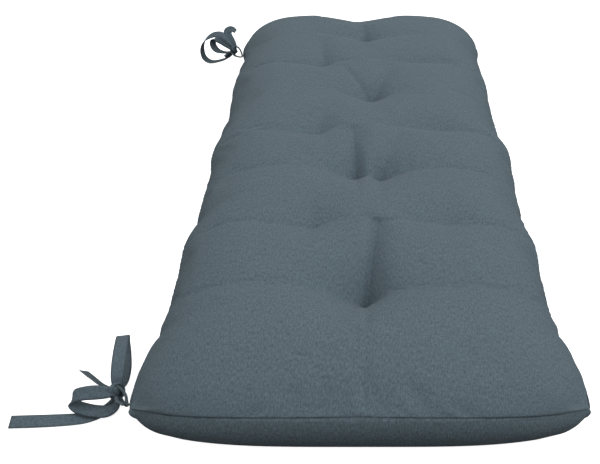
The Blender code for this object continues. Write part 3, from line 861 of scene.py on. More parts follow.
@dataclass
class Settling:
    """A short cloth simulation: the filling presses the cover out between its tufts and seam.

    It runs on every second grid line. The seam, the tufts and the underside hold still, and
    the creases and folds nearly so. What moved is then spread onto the full grid.
    """

    CLOTH = {
        "quality": 6,
        "mass": 0.3,
        "tension_stiffness": 20,
        "compression_stiffness": 20,
        "shear_stiffness": 8,
        "bending_stiffness": 0.8,
        "use_pressure": True,
    }

    form: CushionForm
    stride: int = 2
    frames: int = 16
    pressure: float = 1.1
    extra_cloth: float = 0.008
    tuft_hold: float = 0.014
    crease_hold: float = 0.60
    crease_hold_width: float = 0.007
    fold_hold: float = 0.8
    fold_hold_depth: float = 0.012
    slack_hold: float = 0.04
    furthest: float = 0.0035
    weld: float = 0.0008

    def _held(self, upper: Array) -> Array:
        """How firmly each place of the upper panel is held.

        Args:
            upper: its grid.

        Returns:
            Weights from 0 to 1.
        """
        form = self.form
        x, y = upper[:, :, 0], form.strayed(upper[:, :, 0], upper[:, :, 1])
        creased = self.crease_hold * np.clip(form.creasing(x, y), 0, 1)
        holds = [creased * fading(y - row, self.crease_hold_width, 2) for row in form.rows()]
        for tuft in TUFTS:
            holds.append(fading(np.hypot(x - tuft.x, y - form.rows()[tuft.row - 1]), self.tuft_hold, 2))
        for depth in (form.fold_depth(x, y), form.notch(x, y)):
            holds.append(np.clip(depth / self.fold_hold_depth, 0, self.fold_hold))
        hold = np.maximum(self.slack_hold, np.maximum.reduce(holds))
        hold[[0, -1], :] = 1
        hold[:, [0, -1]] = 1
        return hold

    def settle(self, upper: Array, points: Array, faces: Array) -> Array:
        """Simulate, and spread the upper panel's movement onto its full grid.

        Args:
            upper: the upper panel's full grid.
            points: the whole envelope's points on every second line, the upper panel's first.
            faces: the envelope's faces.

        Returns:
            The upper panel's settled grid.
        """
        coarse = upper[:: self.stride, :: self.stride]
        count = coarse.shape[0] * coarse.shape[1]
        hold = np.concatenate([self._held(coarse).ravel(), np.ones(len(points) - count)])
        points, faces, first, number = self._welded(points, faces)
        envelope = add_piece("settling_envelope", points, faces, points[:, :2], [])
        group = envelope.vertex_groups.new(name="held")
        for place, weight in enumerate(hold[first]):
            group.add([place], float(weight), "REPLACE")
        settled = self._run(envelope, group.name)
        moved = (settled - points)[number[:count]].reshape(coarse.shape)
        far = np.linalg.norm(moved, axis=2, keepdims=True)
        log.info("settling: moved %.2f mm at most, %.2f mm on average", far.max() / MM, far.mean() / MM)
        moved *= self.furthest * np.tanh(far / self.furthest) / np.maximum(far, 1e-9)
        return upper + self._spread(moved, upper.shape[:2])

    def _run(self, envelope: Object, held: str) -> Array:
        """Run the simulation, and remove its envelope.

        Args:
            envelope: the welded envelope.
            held: its group of held points.

        Returns:
            The settled points.
        """
        cloth = envelope.modifiers.new("settling", "CLOTH")
        cloth.point_cache.frame_start, cloth.point_cache.frame_end = 1, self.frames
        cloth.collision_settings.use_collision = False
        for name, value in self.CLOTH.items():
            setattr(cloth.settings, name, value)
        cloth.settings.vertex_group_mass = held
        cloth.settings.uniform_pressure_force = self.pressure
        cloth.settings.shrink_min = -self.extra_cloth
        cloth.settings.effector_weights.gravity = 0
        scene = bpy.context.scene
        for number in range(1, self.frames + 1):
            scene.frame_set(number)
        made = envelope.evaluated_get(bpy.context.evaluated_depsgraph_get()).to_mesh()
        settled = np.empty(len(made.vertices) * 3, np.float32)
        made.vertices.foreach_get("co", settled)
        scene.frame_set(1)
        mesh = envelope.data
        bpy.data.objects.remove(envelope)
        bpy.data.meshes.remove(mesh)
        return settled.reshape(-1, 3).astype(float)

    def _welded(self, points: Array, faces: Array) -> tuple[Array, list, Array, Array]:
        """Join points that coincide, since cloth can't have an edge of no length.

        Args:
            points: the envelope's points.
            faces: its faces.

        Returns:
            The points kept, their faces, which points they were, and where each point went.
        """
        cells = np.round(points / self.weld).astype(int)
        _, first, number = np.unique(cells, axis=0, return_index=True, return_inverse=True)
        number = number.ravel()
        joined = [list(dict.fromkeys(int(number[place]) for place in face)) for face in faces]
        return points[first], [face for face in joined if len(face) > 2], first, number

    def _spread(self, moved: Array, shape: tuple[int, int]) -> Array:
        """Spread movements from every second line onto all of them.

        Args:
            moved: movements on the coarse grid.
            shape: the full grid's size.

        Returns:
            Movements on the full grid.
        """
        for axis, count in enumerate(shape):
            place = np.arange(count) / self.stride
            before = np.minimum(place.astype(int), moved.shape[axis] - 2)
            part = (place - before).reshape((-1, 1, 1) if axis == 0 else (1, -1, 1))
            first, second = np.take(moved, before, axis), np.take(moved, before + 1, axis)
            moved = between(first, second, part)
        return moved


@dataclass
class Cushion:
    """The stuffed cover: grid, settling under its own pressure, seam and finish."""

    form: CushionForm = field(default_factory=CushionForm)
    side_lines: int = 28
    end_lines: int = 24
    lines_across: int = 79
    lines_per_bay: int = 36
    lines_past_last_row: int = 18
    middle_share: float = 0.49
    middle_crowding: float = 0.45
    row_crowding: float = 0.5
    past_crowding: float = 1.2
    seam_crowding: float = 1.5
    seam_groove: float = 0.0017
    seam_groove_width: float = 0.0016
    groove_aim: float = 0.06
    pucker: float = 0.0005
    pucker_pitch: float = 0.011
    pucker_start: float = 0.002
    pucker_reach: float = 0.010
    second_pucker: float = 0.6
    second_pitch: float = 1.7

    def _edge(self, side: Side, at_end: bool) -> tuple[Array, Array]:
        """The grid lines of one rounded edge, seam first.

        Args:
            side: the panel.
            at_end: whether the edge is a short end, not a long side.

        Returns:
            Each line's distance in from the seam and its share of the height.
        """
        form = self.form
        count = self.end_lines if at_end else self.side_lines
        step = np.linspace(0, 1, count + 1) ** self.seam_crowding
        if side is Side.UPPER:
            seam_angle = form.end_seam_angle if at_end else form.side_seam_angle
            rounding = form.end_rounding if at_end else form.side_rounding
            angle = seam_angle + (math.pi / 2 - seam_angle) * step
            inset = rounding * (math.cos(seam_angle) - np.cos(angle)) / math.cos(seam_angle)
            share = (np.sin(angle) - math.sin(seam_angle)) / (1 - math.sin(seam_angle))
        else:
            seam_angle = form.under_end_angle if at_end else form.under_side_angle
            angle = seam_angle - (math.pi / 2 + seam_angle) * step
            inset = form.belly_radius * (math.cos(seam_angle) - np.cos(angle))
            share = (math.sin(seam_angle) - np.sin(angle)) / (1 + math.sin(seam_angle))
        return inset, share

    def _middle_across(self) -> Array:
        """Lines between the long shoulders, as shares of half the width, closest in the middle."""
        place = np.linspace(-1, 1, self.lines_across)
        return self.middle_share * ((1 - self.middle_crowding) * place + self.middle_crowding * place**3)

    def _middle_along(self) -> Array:
        """Lines between the end shoulders, closest at the rows of tufts.

        Returns:
            Their places along.
        """
        rows, pitch = self.form.rows(), self.form.row_pitch
        place = np.arange(self.lines_per_bay) / self.lines_per_bay
        eased = place - self.row_crowding * np.sin(2 * math.pi * place) / (2 * math.pi)
        bays = np.concatenate([row + pitch * eased for row in rows[:-1]] + [rows[-1:]])
        reach = self.form.seam_length / 2 - self.form.end_rounding - rows[-1]
        count = self.lines_past_last_row
        past = reach * (np.arange(1, count + 1) / (count + 1)) ** self.past_crowding
        return np.concatenate([rows[0] - past[::-1], bays, rows[-1] + past])

    @staticmethod
    def _lines(edge: tuple[Array, Array], middle: Array) -> tuple[Array, Array, Array]:
        """All the grid lines that cross one direction of a panel.

        Args:
            edge: the rounded edge's insets and shares of the height.
            middle: the lines between the edges.

        Returns:
            Each line's inset, which the middle ones have none of, its share and its side.
        """
        inset, share = edge
        insets = np.concatenate([inset, np.full(len(middle), np.nan), inset[::-1]])
        shares = np.concatenate([share, np.ones(len(middle)), share[::-1]])
        return insets, shares, np.sign(np.arange(len(shares)) - (len(shares) - 1) / 2)

    def panel(self, side: Side) -> Array:
        """One panel's grid of points.

        Args:
            side: the panel.

        Returns:
            An array of lines across, lines along and X, Y, Z.
        """
        form = self.form
        middle_x, middle_y = self._middle_across(), self._middle_along()
        inset_x, share_x, sign_x = self._lines(self._edge(side, False), middle_x)
        inset_y, share_y, sign_y = self._lines(self._edge(side, True), middle_y)
        edge_x, edge_y = ~np.isnan(inset_x), ~np.isnan(inset_y)

        blend_x, blend_y = share_x**form.edge_blend, share_y**form.edge_blend
        last_row = form.rows()[-1]
        room = form.seam_length / 2 - form.end_rounding - last_row
        past = np.maximum(np.abs(middle_y) - last_row, 0)
        spread = 1 + (form.end_rounding - inset_y[self.end_lines] * blend_x) / room
        y = np.zeros((len(share_x), len(share_y)))
        y[:, ~edge_y] = np.sign(middle_y) * (np.abs(middle_y) - past + np.outer(spread, past))
        y[:, edge_y] = sign_y[edge_y] * (form.seam_length / 2 - np.outer(blend_x, inset_y[edge_y]))
        half = form.half_width(np.broadcast_to(sign_x[:, None], y.shape), y)
        x = np.zeros_like(y)
        spread = (half - inset_x[self.side_lines] * blend_y) / (half - form.side_rounding)
        x[~edge_x] = middle_x[:, None] * (half * spread)[~edge_x]
        x[edge_x] = sign_x[edge_x, None] * (half[edge_x] - np.outer(inset_x[edge_x], blend_y))

        across = np.minimum(np.abs(x) / (form.seam_width / 2), 1)
        bow_start = form.end_bow_start * form.row_pitch
        reach = np.clip((np.abs(y) - bow_start) / (form.seam_length / 2 - bow_start), 0, 1)
        y = y + np.sign(y) * form.at_end(y, "bow") * (1 - across**form.end_bow_power) * reach
        along = np.minimum(np.abs(y) / (form.seam_length / 2), 1)
        tuck = np.full_like(x, form.corner_tuck)
        if side is Side.LOWER:
            tuck += form.under_corner_tuck * np.sqrt(np.outer(share_x, share_y))
        tuck *= across ** form.corner_tuck_powers[0] * along ** form.corner_tuck_powers[1]
        far = across ** form.far_corner_tuck_powers[0] * along ** form.far_corner_tuck_powers[1]
        far_x, far_y = (np.where(y > 0, size * far, 0.0) for size in form.far_corner_tucks)
        x, y = x - np.sign(x) * (tuck + far_x), y - np.sign(y) * (tuck + far_y)

        seam = form.seam_height(x, y)
        far = form.top(x, y) if side is Side.UPPER else form.under(x, y)
        return np.stack([x, y, between(seam, far, np.outer(share_x, share_y))], axis=2)

    def _groove(self, panel: Array) -> Array:
        """Draw a panel in along its seam, with small puckers between the stitches.

        Args:
            panel: the panel's grid.

        Returns:
            The grid with its seam drawn in.
        """
        ways = [walked(panel, axis) for axis in (0, 1)]
        ways += [np.flip(walked(np.flip(panel, axis), axis), axis) for axis in (0, 1)]
        from_seam = np.minimum.reduce(ways)
        aim = np.array([self.form.seam_width, self.form.seam_length]) / 2 - self.groove_aim
        inward = np.zeros_like(panel)
        inward[:, :, :2] = np.clip(panel[:, :, :2], -aim, aim) - panel[:, :, :2]
        length = np.maximum(np.linalg.norm(inward, axis=2, keepdims=True), 1e-6)
        turn = 2 * math.pi * (panel[:, :, 0] + panel[:, :, 1]) / self.pucker_pitch
        wave = np.sin(turn) + self.second_pucker * np.sin(turn / self.second_pitch + 1.0)
        pull = self.seam_groove * fading(from_seam, self.seam_groove_width, 2)
        pull += self.pucker * wave * fading(from_seam, self.pucker_reach, 1) * (
            1 - fading(from_seam, self.pucker_start, 1)
        )
        return panel + inward / length * pull[:, :, None]

    def build(self, canvas: Material) -> Object:
        """Build the dressed cushion.

        Args:
            canvas: its finish.

        Returns:
            The cushion's object.
        """
        upper, lower = self.panel(Side.UPPER), self.panel(Side.LOWER)
        settling = Settling(self.form)
        step = settling.stride
        points, faces, _ = self._envelope(upper[::step, ::step], lower[::step, ::step])
        upper = settling.settle(upper, points, faces)
        upper, lower = self._groove(upper), self._groove(lower)
        points, faces, rim = self._envelope(upper, lower)
        cloth = np.concatenate([self._cloth(upper).reshape(-1, 2), self._cloth(lower)[~rim]])
        return add_piece("cushion_cover", points, faces, cloth, [canvas])

    def _envelope(self, upper: Array, lower: Array) -> tuple[Array, Array, Array]:
        """Join the panels' grids along their shared seam.

        Args:
            upper: the upper panel's grid, which also gives the seam's points.
            lower: the lower panel's grid.

        Returns:
            Points, faces of four point numbers, and which grid points lie on the seam.
        """
        count_x, count_y = upper.shape[:2]
        number_top = np.arange(count_x * count_y).reshape(count_x, count_y)
        rim = np.ones((count_x, count_y), bool)
        rim[1:-1, 1:-1] = False
        number_under = np.where(rim, number_top, 0)
        number_under[~rim] = count_x * count_y + np.arange((~rim).sum())
        points = np.concatenate([upper.reshape(-1, 3), lower[~rim]])
        faces = np.concatenate([self._quads(number_top), self._quads(number_under)[:, ::-1]])
        return points, faces, rim

    @staticmethod
    def _quads(number: Array) -> Array:
        """Faces of a grid of vertex numbers, one row of four numbers each."""
        corners = (number[:-1, :-1], number[1:, :-1], number[1:, 1:], number[:-1, 1:])
        return np.stack([corner.ravel() for corner in corners], axis=1)

    @staticmethod
    def _cloth(panel: Array) -> Array:
        """The panel's thread coordinates: lengths measured over the surface from its middle.

        Args:
            panel: the panel's grid.

        Returns:
            Two coordinates for each point.
        """
        across, along = walked(panel, 0), walked(panel, 1)
        across -= across[across.shape[0] // 2][None, :]
        along -= along[:, along.shape[1] // 2][:, None]
        return np.stack([across, along], axis=2)


# ---------------------------------------------------------------- the ties
class Section(NamedTuple):
    """One section of a strap, in millimetres and degrees from where it is sewn on.

    out is away from the cushion (-X), along is +Y, up is the height above the surface,
    facing is the compass direction of the strap's width from +X, rise is how far that
    width tips up, and width is the gathered width.
    """

    out: float
    along: float
    up: float
    facing: float
    rise: float
    width: float = 16.5


# Each bracket holds a Section's values. A run starts at the knot, where leads and loops end too.
NEAR_RUNS = {
    "leads": (
        (22, 40, 24, 100, -50, 9), (12.5, 28, 27, 108, -48, 10), (6.2, 16.5, 32, 112, -46, 11),
        (1.6, 5.0, 37.0, 112, -46, 11), (0.6, 1.4, 37.2, 80, -50, 11), (1.6, 0.6, 35.4, 40, -44, 11),
        (7, 7.6, 30.0, 22, -34, 11), (13.5, 16, 23.5, 18, -32, 11), (20, 28, 19, 20, -30, 9),
    ),
    "side_loop": (
        (23, 40, 24, 8, 0, 12), (23.5, 48, 32, 8, 0, 15), (25.5, 66, 37, 10, 0),
        (28.8, 88, 37.5, 10, 0), (33, 111, 33, 10, 0), (37, 125, 24.5, 10, 0), (39, 127, 13, 10, 0),
        (34.5, 110, 6, 10, 0), (29.3, 87, 4, 10, 0), (25.3, 63, 7, 8, 0, 14), (23, 44, 15, 8, 0, 9),
    ),
    "outer_loop": (
        (23, 33, 23, 90, 30, 9), (31, 29, 25.5, 90, 32, 14), (43, 27, 27, 90, 33),
        (57, 26.5, 26, 90, 31), (69, 27, 21.5, 90, 26), (72.5, 26, 14.5, 90, 20),
        (67, 22.5, 8.8, 90, 12), (57, 19.5, 7.6, 92, 10), (46, 17, 7.4, 98, 10), (32, 16, 8.0, 116, 8),
        (23, 20, 11, 127, 4, 14), (20, 28, 16, 130, 0, 9),
    ),
    "short_end": (
        (25, 40, 17, 60, -22, 9), (38, 49, 12, 52, -36, 11), (50, 58, 9.4, 49, -44, 14),
        (64, 70, 8.4, 47, -46), (76, 80, 8.4, 42, -44),
    ),
    "long_end": (
        (24, 35, 13, 130, 0, 9), (32, 27, 5.6, 128, 0, 13), (41, 19.5, 2.2, 118, 0),
        (51, 13.5, 1.6, 104, 0), (66, 9.5, 2.2, 94, 5), (100, 6, 3.2, 96, 12), (139, 4, 3.6, 94, 13),
    ),
}

FAR_RUNS = {
    "leads": (
        (20, 28, 44, 84, -22, 9), (12, 22, 47, 88, -22, 10), (5, 10, 44.5, 94, -22, 11),
        (1.4, 1.8, 39.4, 97, -22, 12), (0.6, -0.8, 37.0, 98, -22, 12), (2.0, -1.2, 35.0, 98, -22, 12),
        (9, 5, 32.6, 96, -20, 11), (18, 15, 31, 90, -14, 10), (25, 24, 34, 80, -7, 9),
    ),
    "standing_loop": (
        (25, 28, 33, 80, 0, 9), (31, 30, 24.4, 76, 4, 12), (43, 34, 16, 72, 5), (63, 38, 8.6, 68, 5),
        (78, 40, 7.0, 66, 5), (89, 42, 13, 64, 3), (93.5, 43, 24.0, 64, 0), (93, 43.5, 39, 66, 6),
        (86.5, 44.5, 52.5, 68, 18), (74.5, 45, 62.5, 72, 28), (61.5, 44.5, 67.5, 76, 30),
        (47.5, 42, 67.5, 78, 24), (35, 36.5, 58, 80, 12, 13), (26, 30, 44, 80, 0, 9),
    ),
    "inner_loop": (
        (24, 25, 42, 40, 34, 9), (35, 21, 54, 32, 38, 14), (47, 19, 64.5, 28, 36),
        (57, 19, 68.5, 34, 22), (63.5, 19.5, 63, 44, 6), (63.5, 20, 51, 48, 0),
        (56, 21.5, 40.5, 54, 0, 15), (42, 24, 35, 72, 0, 12), (26, 26, 35, 90, 0, 9),
    ),
    "folded_end": (
        (20, 32, 42, 20, -4, 12), (25, 38.5, 52.0, 14, -4, 15), (32.5, 45.5, 62.5, 10, -4),
        (35.8, 50.5, 70.5, 6, -10), (31, 54.5, 74.4, -14, -26), (24, 56, 74, -36, -40, 14),
        (18.5, 55, 70, -50, -46, 10),
    ),
    "short_end": (
        (27, 27, 35, 50, -20, 9), (34, 24, 29.5, 44, -24, 11), (41, 21.5, 24.5, 40, -28, 12),
    ),
}


class Sweep(NamedTuple):
    """A stretch of strap as a mesh: its points, faces, cloth coordinates and finish numbers."""

    points: Array
    faces: list[tuple[int, ...]]
    cloth: Array
    finish: list[int]


class Ring(NamedTuple):
    """A ring of a strap: its middle, directions and width, its bow, and its cloth's width and place."""

    middle: Vector
    wide: Vector
    deep: Vector
    width: float
    bow: Array
    cloth_width: float
    gone: float


@dataclass(frozen=True)
class Strap:
    """A folded strap of canvas with one row of edge stitching."""

    STITCH_RINGS = ((-0.5, -0.8, 0.5), (-0.25, 0.1, 1), (0.25, 0.1, 1), (0.5, -0.8, 0.5))

    width: float = 0.0165
    thickness: float = 0.0018
    roundness: float = 6
    columns: int = 9
    steps: int = 8
    cupping: float = 0.0005
    pleats: float = 1.5
    pleat_share: float = 0.22
    stitched_share: float = 0.9
    stitch_inset: float = 0.0018
    stitch_pitch: float = 0.0034
    stitch_length: float = 0.0024
    stitch_radius: float = 0.00022
    stitch_sink: float = 0.2

    def places(self) -> Array:
        """The columns' places over the strap's half width, from -1 to 1."""
        return np.linspace(-1, 1, self.columns)

    def frames(self, run: Sequence[tuple], sewn_at: tuple[float, float]) -> list[tuple]:
        """Centre, width direction, face direction and width at each section.

        Args:
            run: the values of the strap's sections.
            sewn_at: where the strap is sewn on.

        Returns:
            One tuple for each section, denser than the run's own.
        """
        rows = []
        for place in (Section(*values) for values in run):
            centre = (sewn_at[0] - place.out * MM, sewn_at[1] + place.along * MM, place.up * MM)
            facing, rise = math.radians(place.facing), math.radians(place.rise)
            wide = (math.cos(facing) * math.cos(rise), math.sin(facing) * math.cos(rise), math.sin(rise))
            rows.append((*centre, *wide, place.width * MM))
        rows = spline(rows, self.steps)
        found = []
        for index, row in enumerate(rows):
            before, after = rows[max(index - 1, 0)], rows[min(index + 1, len(rows) - 1)]
            tangent = Vector(after[:3] - before[:3]).normalized()
            wide = Vector(row[3:6])
            wide = (wide - wide.dot(tangent) * tangent).normalized()
            found.append((Vector(row[:3]), wide, tangent.cross(wide).normalized(), row[6]))
        return found

    @staticmethod
    def gone(frames: Sequence[tuple]) -> list[float]:
        """How far along the strap each of its frames lies."""
        steps = [(second[0] - first[0]).length for first, second in zip(frames, frames[1:])]
        return [0.0, *np.cumsum(steps)]

    def tube(self, rings: Sequence[Ring], turned: bool = False) -> Sweep:
        """Join rings of the strap's rounded section.

        Args:
            rings: the rings.
            turned: whether the rings run round it the other way.

        Returns:
            The closed mesh.
        """
        places = self.places()
        half = self.thickness / 2 * np.sqrt(np.clip(1 - places**self.roundness, 0, 1))
        points, cloth = [], []
        for ring in rings:
            for face, columns in ((1, range(self.columns)), (-1, range(self.columns - 2, 0, -1))):
                back = ring.cloth_width if face < 0 else 0.0
                for column in columns:
                    aside = ring.wide * (places[column] * ring.width / 2)
                    lift = ring.deep * float(ring.bow[column] + face * half[column])
                    points.append(tuple(ring.middle + aside + lift))
                    cloth.append((places[column] * ring.cloth_width / 2 + back, ring.gone))
        faces = tube_faces(len(rings), 2 * self.columns - 2)
        if turned:
            faces = [(face[0], *face[:0:-1]) if len(face) == 4 else face[::-1] for face in faces]
        return Sweep(np.array(points), faces, np.array(cloth), [0] * len(faces))

    def sweep(self, run: Sequence[tuple], sewn_at: tuple[float, float], phase: float) -> Sweep:
        """Sweep the strap's rounded section through a run.

        Args:
            run: the values of the strap's sections.
            sewn_at: where the strap is sewn on.
            phase: where its pleats start.

        Returns:
            The stretch as a mesh.
        """
        places, frames, rings = self.places(), self.frames(run, sewn_at), []
        for (centre, wide, deep, width), gone in zip(frames, self.gone(frames)):
            spare = math.sqrt(max(self.width**2 - width**2, 0.0))
            pleat = self.pleat_share * spare / (2 * self.pleats)
            bow = self.cupping * (1 - places**2) + pleat * np.sin(math.pi * self.pleats * places + phase)
            rings.append(Ring(centre, wide, deep, width, bow, self.width, gone))
        return self.tube(rings)

    def stitches(self, run: Sequence[tuple], sewn_at: tuple[float, float]) -> list[Sweep]:
        """The row of stitches along the strap's folded edge, on both its faces.

        Args:
            run: the values of the strap's sections.
            sewn_at: where the strap is sewn on.

        Returns:
            One small mesh for each stitch.
        """
        frames = self.frames(run, sewn_at)
        lengths = self.gone(frames)
        found = []
        for at in np.arange(self.stitch_pitch, lengths[-1] - self.stitch_pitch, self.stitch_pitch):
            index = int(np.searchsorted(lengths, at)) - 1
            part = (at - lengths[index]) / max(lengths[index + 1] - lengths[index], 1e-9)
            (c0, w0, d0, width0), (c1, w1, d1, width1) = frames[index], frames[index + 1]
            centre, wide = c0.lerp(c1, part), w0.lerp(w1, part).normalized()
            deep, width = d0.lerp(d1, part).normalized(), between(width0, width1, part)
            if width < self.width * self.stitched_share:
                continue
            tangent = wide.cross(deep).normalized()
            place = 1 - 2 * self.stitch_inset / width
            lift = self.thickness / 2 * math.sqrt(1 - place**self.roundness)
            lift -= self.stitch_radius * self.stitch_sink
            for face in (1, -1):
                middle = centre + wide * (place * width / 2)
                middle += deep * (self.cupping * (1 - place**2) + face * lift)
                found.append(self._stitch(middle, tangent, wide, deep * face))
        return found

    def _stitch(self, middle: Vector, tangent: Vector, wide: Vector, out: Vector) -> Sweep:
        """One stitch: a short bead of thread whose ends dip into the cloth.

        Args:
            middle: its middle.
            tangent: its direction.
            wide: sideways.
            out: away from the cloth.

        Returns:
            Its mesh.
        """
        points = []
        for along, lift, size in self.STITCH_RINGS:
            centre = middle + tangent * (along * self.stitch_length) + out * (lift * self.stitch_radius)
            for turn in (math.pi / 4 * corner for corner in (1, 3, 5, 7)):
                aside = wide * math.cos(turn) + out * math.sin(turn)
                points.append(tuple(centre + aside * self.stitch_radius * size))
        faces = tube_faces(len(self.STITCH_RINGS), 4)
        return Sweep(np.array(points), faces, np.zeros((len(points), 2)), [1] * len(faces))


@dataclass
class Tie:
    """One strap tied in a bow: its runs, its knot and the turn that binds it."""

    CORE_CREASES = ((0.07, (5.0, 0.0, 3.0), 0.0), (0.06, (0.0, 7.0, -4.0), 1.0))  # depth, waves, start

    name: str
    node: str
    sewn_at: tuple[float, float]
    knot: Triple
    runs: dict[str, Sequence[tuple]]
    wrap_axis: Triple
    strap: Strap = field(default_factory=Strap)
    run_phase: float = 0.9
    core_radii: Triple = (0.0072, 0.0066, 0.0072)
    core_cloth: float = 0.02
    wrap_radius: float = 0.0082
    wrap_spiral: float = 0.10
    wrap_drift: float = 0.0012
    wrap_drift_waves: float = 0.9
    wrap_width: float = 0.0105
    wrap_slimness: float = 0.9
    wrap_swell: float = 0.12
    wrap_turn: float = math.radians(400)
    wrap_steps: int = 44
    wrap_pleat: float = 0.0007
    wrap_pleats: float = 1.2
    wrap_cupping: float = -0.0012

    def _centre(self) -> Vector:
        """The knot's middle."""
        out, along, up = self.knot
        return Vector((self.sewn_at[0] - out * MM, self.sewn_at[1] + along * MM, up * MM))

    def _core(self) -> Sweep:
        """Build the knot's crushed core: a ball with creases round it.

        Returns:
            Its mesh.
        """
        body = bmesh.new()
        bmesh.ops.create_icosphere(body, subdivisions=4, radius=1.0)
        centre = self._centre()
        points, cloth = [], []
        for x, y, z in (vertex.co for vertex in body.verts):
            crush = 1.0
            for depth, (a, b, c), start in self.CORE_CREASES:
                crush += depth * math.sin(a * x + b * y + c * z + start)
            points.append(tuple(centre + Vector([r * c * crush for r, c in zip(self.core_radii, (x, y, z))])))
            cloth.append((x * self.core_cloth, (y + z) * self.core_cloth))
        faces = [tuple(vertex.index for vertex in face.verts) for face in body.faces]
        body.free()
        return Sweep(np.array(points), faces, np.array(cloth), [0] * len(faces))

    def _wrap(self) -> Sweep:
        """Build the turn of strap that binds the knot.

        Returns:
            Its mesh.
        """
        axis = Vector(self.wrap_axis).normalized()
        side = axis.orthogonal().normalized()
        other = axis.cross(side)
        centre, places, rings = self._centre(), self.strap.places(), []
        for share in np.arange(self.wrap_steps + 1) / self.wrap_steps:
            turn = self.wrap_turn * share
            radius = self.wrap_radius * (1 + self.wrap_spiral * share)
            out = side * math.cos(turn) + other * math.sin(turn)
            middle = centre + out * radius + axis * (self.wrap_drift * math.sin(turn * self.wrap_drift_waves))
            width = self.wrap_width * (self.wrap_slimness + self.wrap_swell * math.sin(2 * turn + 0.5))
            pleats = self.wrap_pleat * np.sin(2 * math.pi * self.wrap_pleats * places + 2 * turn)
            bow = pleats + self.wrap_cupping * places**2
            rings.append(Ring(middle, axis, out, width, bow, width, turn * radius))
        return self.strap.tube(rings, turned=True)

    def length(self) -> float:
        """The strap's whole length: the turn round the knot and every run."""
        ends = [self.strap.gone(self.strap.frames(run, self.sewn_at))[-1] for run in self.runs.values()]
        return sum(ends, self.wrap_turn * self.wrap_radius)

    def build(self, canvas: Material, thread: Material) -> Object:
        """Build the whole tie as one piece.

        Args:
            canvas: the strap's finish.
            thread: the stitching's finish.

        Returns:
            The tie's object.
        """
        sweeps = [self._core(), self._wrap()]
        for number, run in enumerate(self.runs.values()):
            sweeps.append(self.strap.sweep(run, self.sewn_at, self.run_phase * number))
            sweeps.extend(self.strap.stitches(run, self.sewn_at))
        faces, finish, start = [], [], 0
        for sweep in sweeps:
            faces.extend(tuple(start + number for number in face) for face in sweep.faces)
            finish.extend(sweep.finish)
            start += len(sweep.points)
        points, cloth = (np.concatenate(parts) for parts in zip(*((s.points, s.cloth) for s in sweeps)))
        return add_piece(self.name, points, faces, cloth, [canvas, thread], finish)


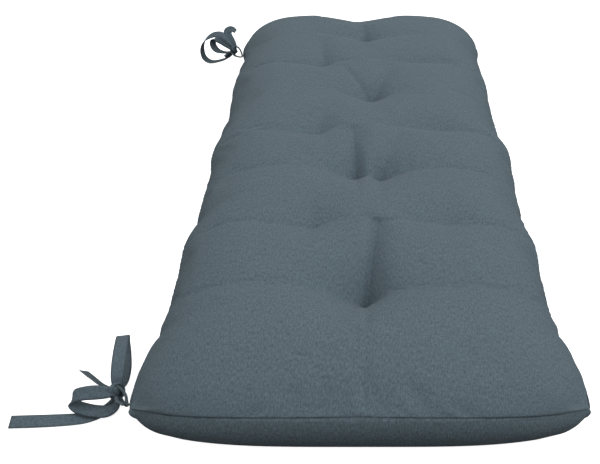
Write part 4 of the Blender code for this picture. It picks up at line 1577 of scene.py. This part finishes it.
# ---------------------------------------------------------------- the studio
@dataclass
class Studio:
    """Plain pale floor, soft light and the camera at the photograph's angle."""

    camera_at: Triple = (0.0, -1.1657, 0.6859)
    camera_pitch: float = math.radians(34.75)
    camera_reach: float = 100.0
    lens: float = 46.94
    sensor: float = 36.0
    shift_x: float = -0.1004
    floor_half: float = 20.0
    floor_drop: float = 0.0002
    floor_tone: float = 0.9
    floor_glow: float = 0.85
    floor_bounce: float = 0.02
    softbox_at: Triple = (1.4, -0.4, 2.2)
    softbox_size: float = 1.6
    softbox_watts: float = 12.0
    sky_level: float = 0.30
    sky_rise: float = 0.41
    sky_haze: float = 0.45
    sky_sides: float = 0.82
    sky_slant: float = 0.28
    sky_front: float = 0.03
    backdrop: float = 1.0

    def build(self) -> None:
        """Build floor, lights, world and camera."""
        self._floor()
        self._world()
        self._softbox()
        self._camera()
        bpy.context.scene.view_settings.view_transform = "Standard"

    def _floor(self) -> None:
        """A pale floor that doesn't throw much light back up."""
        corners = self.floor_half * np.array([(-1, -1, 0), (1, -1, 0), (1, 1, 0), (-1, 1, 0)], float)
        material, wiring, seen = new_material("pale_floor")
        wiring.feed(seen, {
            "Base Color": (self.floor_tone,) * 3 + (1.0,),
            "Roughness": 1.0,
            "Specular IOR Level": 0.0,
            "Emission Color": (1.0, 1.0, 1.0, 1.0),
            "Emission Strength": self.floor_glow,
        })
        dim = wiring.add("BsdfDiffuse", {"Color": (self.floor_bounce,) * 3 + (1.0,)})
        camera_ray = wiring.add("LightPath").outputs["Is Camera Ray"]
        mixed = wiring.add("MixShader", {0: camera_ray, 1: dim.outputs[0], 2: seen.outputs[0]})
        output = next(node for node in wiring.tree.nodes if node.type == "OUTPUT_MATERIAL")
        wiring.feed(output, {"Surface": mixed.outputs[0]})
        floor = add_piece("floor", corners, [(0, 1, 2, 3)], corners[:, :2], [material])
        floor.location.z = -self.floor_drop

    def _world(self) -> None:
        """Even light from above and from both sides, little from near the horizon."""
        world = bpy.data.worlds.new("studio")
        world.use_nodes = True
        wiring = Wiring(world.node_tree)
        east, north, up = wiring.split(wiring.add("TexCoord").outputs["Generated"])
        level = wiring.times(up, self.sky_rise, self.sky_level)
        level = wiring.times(east, self.sky_slant, level)
        level = wiring.times(north, -self.sky_front, level)
        level = wiring.times(wiring.math("ABSOLUTE", east), self.sky_sides, level)
        above = wiring.times(wiring.math("MAXIMUM", up, 0.0), 1 / self.sky_haze)
        level = wiring.times(wiring.math("MAXIMUM", level, 0.0), wiring.math("MINIMUM", above, 1.0))
        backdrop = wiring.times(wiring.add("LightPath").outputs["Is Camera Ray"], self.backdrop)
        wiring.feed(world.node_tree.nodes["Background"], {
            "Strength": wiring.math("MAXIMUM", level, backdrop),
            "Color": (1.0, 1.0, 1.0, 1.0),
        })
        bpy.context.scene.world = world

    def _softbox(self) -> None:
        """A square soft light overhead, turned to the model's middle."""
        data = bpy.data.lights.new("overhead", "AREA")
        data.shape = "SQUARE"
        data.size = self.softbox_size
        data.energy = self.softbox_watts
        light = add_object("overhead", data)
        light.location = self.softbox_at
        light.rotation_euler = (-Vector(self.softbox_at)).to_track_quat("-Z", "Y").to_euler()

    def _camera(self) -> None:
        """The camera at the photograph's viewing angle."""
        data = bpy.data.cameras.new("camera")
        data.sensor_fit = "HORIZONTAL"
        data.sensor_width = self.sensor
        data.lens = self.lens
        data.shift_x = self.shift_x
        data.clip_end = self.camera_reach
        camera = add_object("camera", data)
        camera.location = self.camera_at
        camera.rotation_euler = (math.pi / 2 - self.camera_pitch, 0.0, 0.0)
        bpy.context.scene.camera = camera


# ---------------------------------------------------------------- all together
def report(piece: Object) -> None:
    """Log a piece's name and size."""
    log.info("%s: %d faces", piece.name, len(piece.data.polygons))


def main() -> None:
    """Build the cushion, its ties and the studio."""
    logging.basicConfig(level=logging.INFO, format="%(name)s %(message)s", force=True)
    canvas = MelangeCanvas("slate_melange_canvas", (0.053, 0.073, 0.086), (0.162, 0.223, 0.260)).material()
    strap_canvas = MelangeCanvas(
        "slate_melange_strap", (0.049, 0.068, 0.080), (0.152, 0.209, 0.244), thread_pitch=0.00055
    ).material()
    thread = SewingThread().material()

    cushion = Cushion().build(canvas)
    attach(cushion, BODY)
    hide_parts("cushion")
    report(cushion)

    ties = (
        Tie("near_bow", "tie_near", (-0.2582, -0.5640), (23, 36, 20), NEAR_RUNS, (0.6, -0.35, 0.7)),
        Tie("far_bow", "tie_far", (-0.2543, 0.437), (22, 28, 39), FAR_RUNS, (0.75, 0.2, 0.6)),
    )
    for tie in ties:
        bow = tie.build(strap_canvas, thread)
        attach(bow, BODY)
        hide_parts(tie.node)
        round(tie.length(), 3)
        report(bow)
        log.info("%s: strap %.3f m long", bow.name, tie.length())

    Studio().build()


if __name__ == "__main__":
    main()
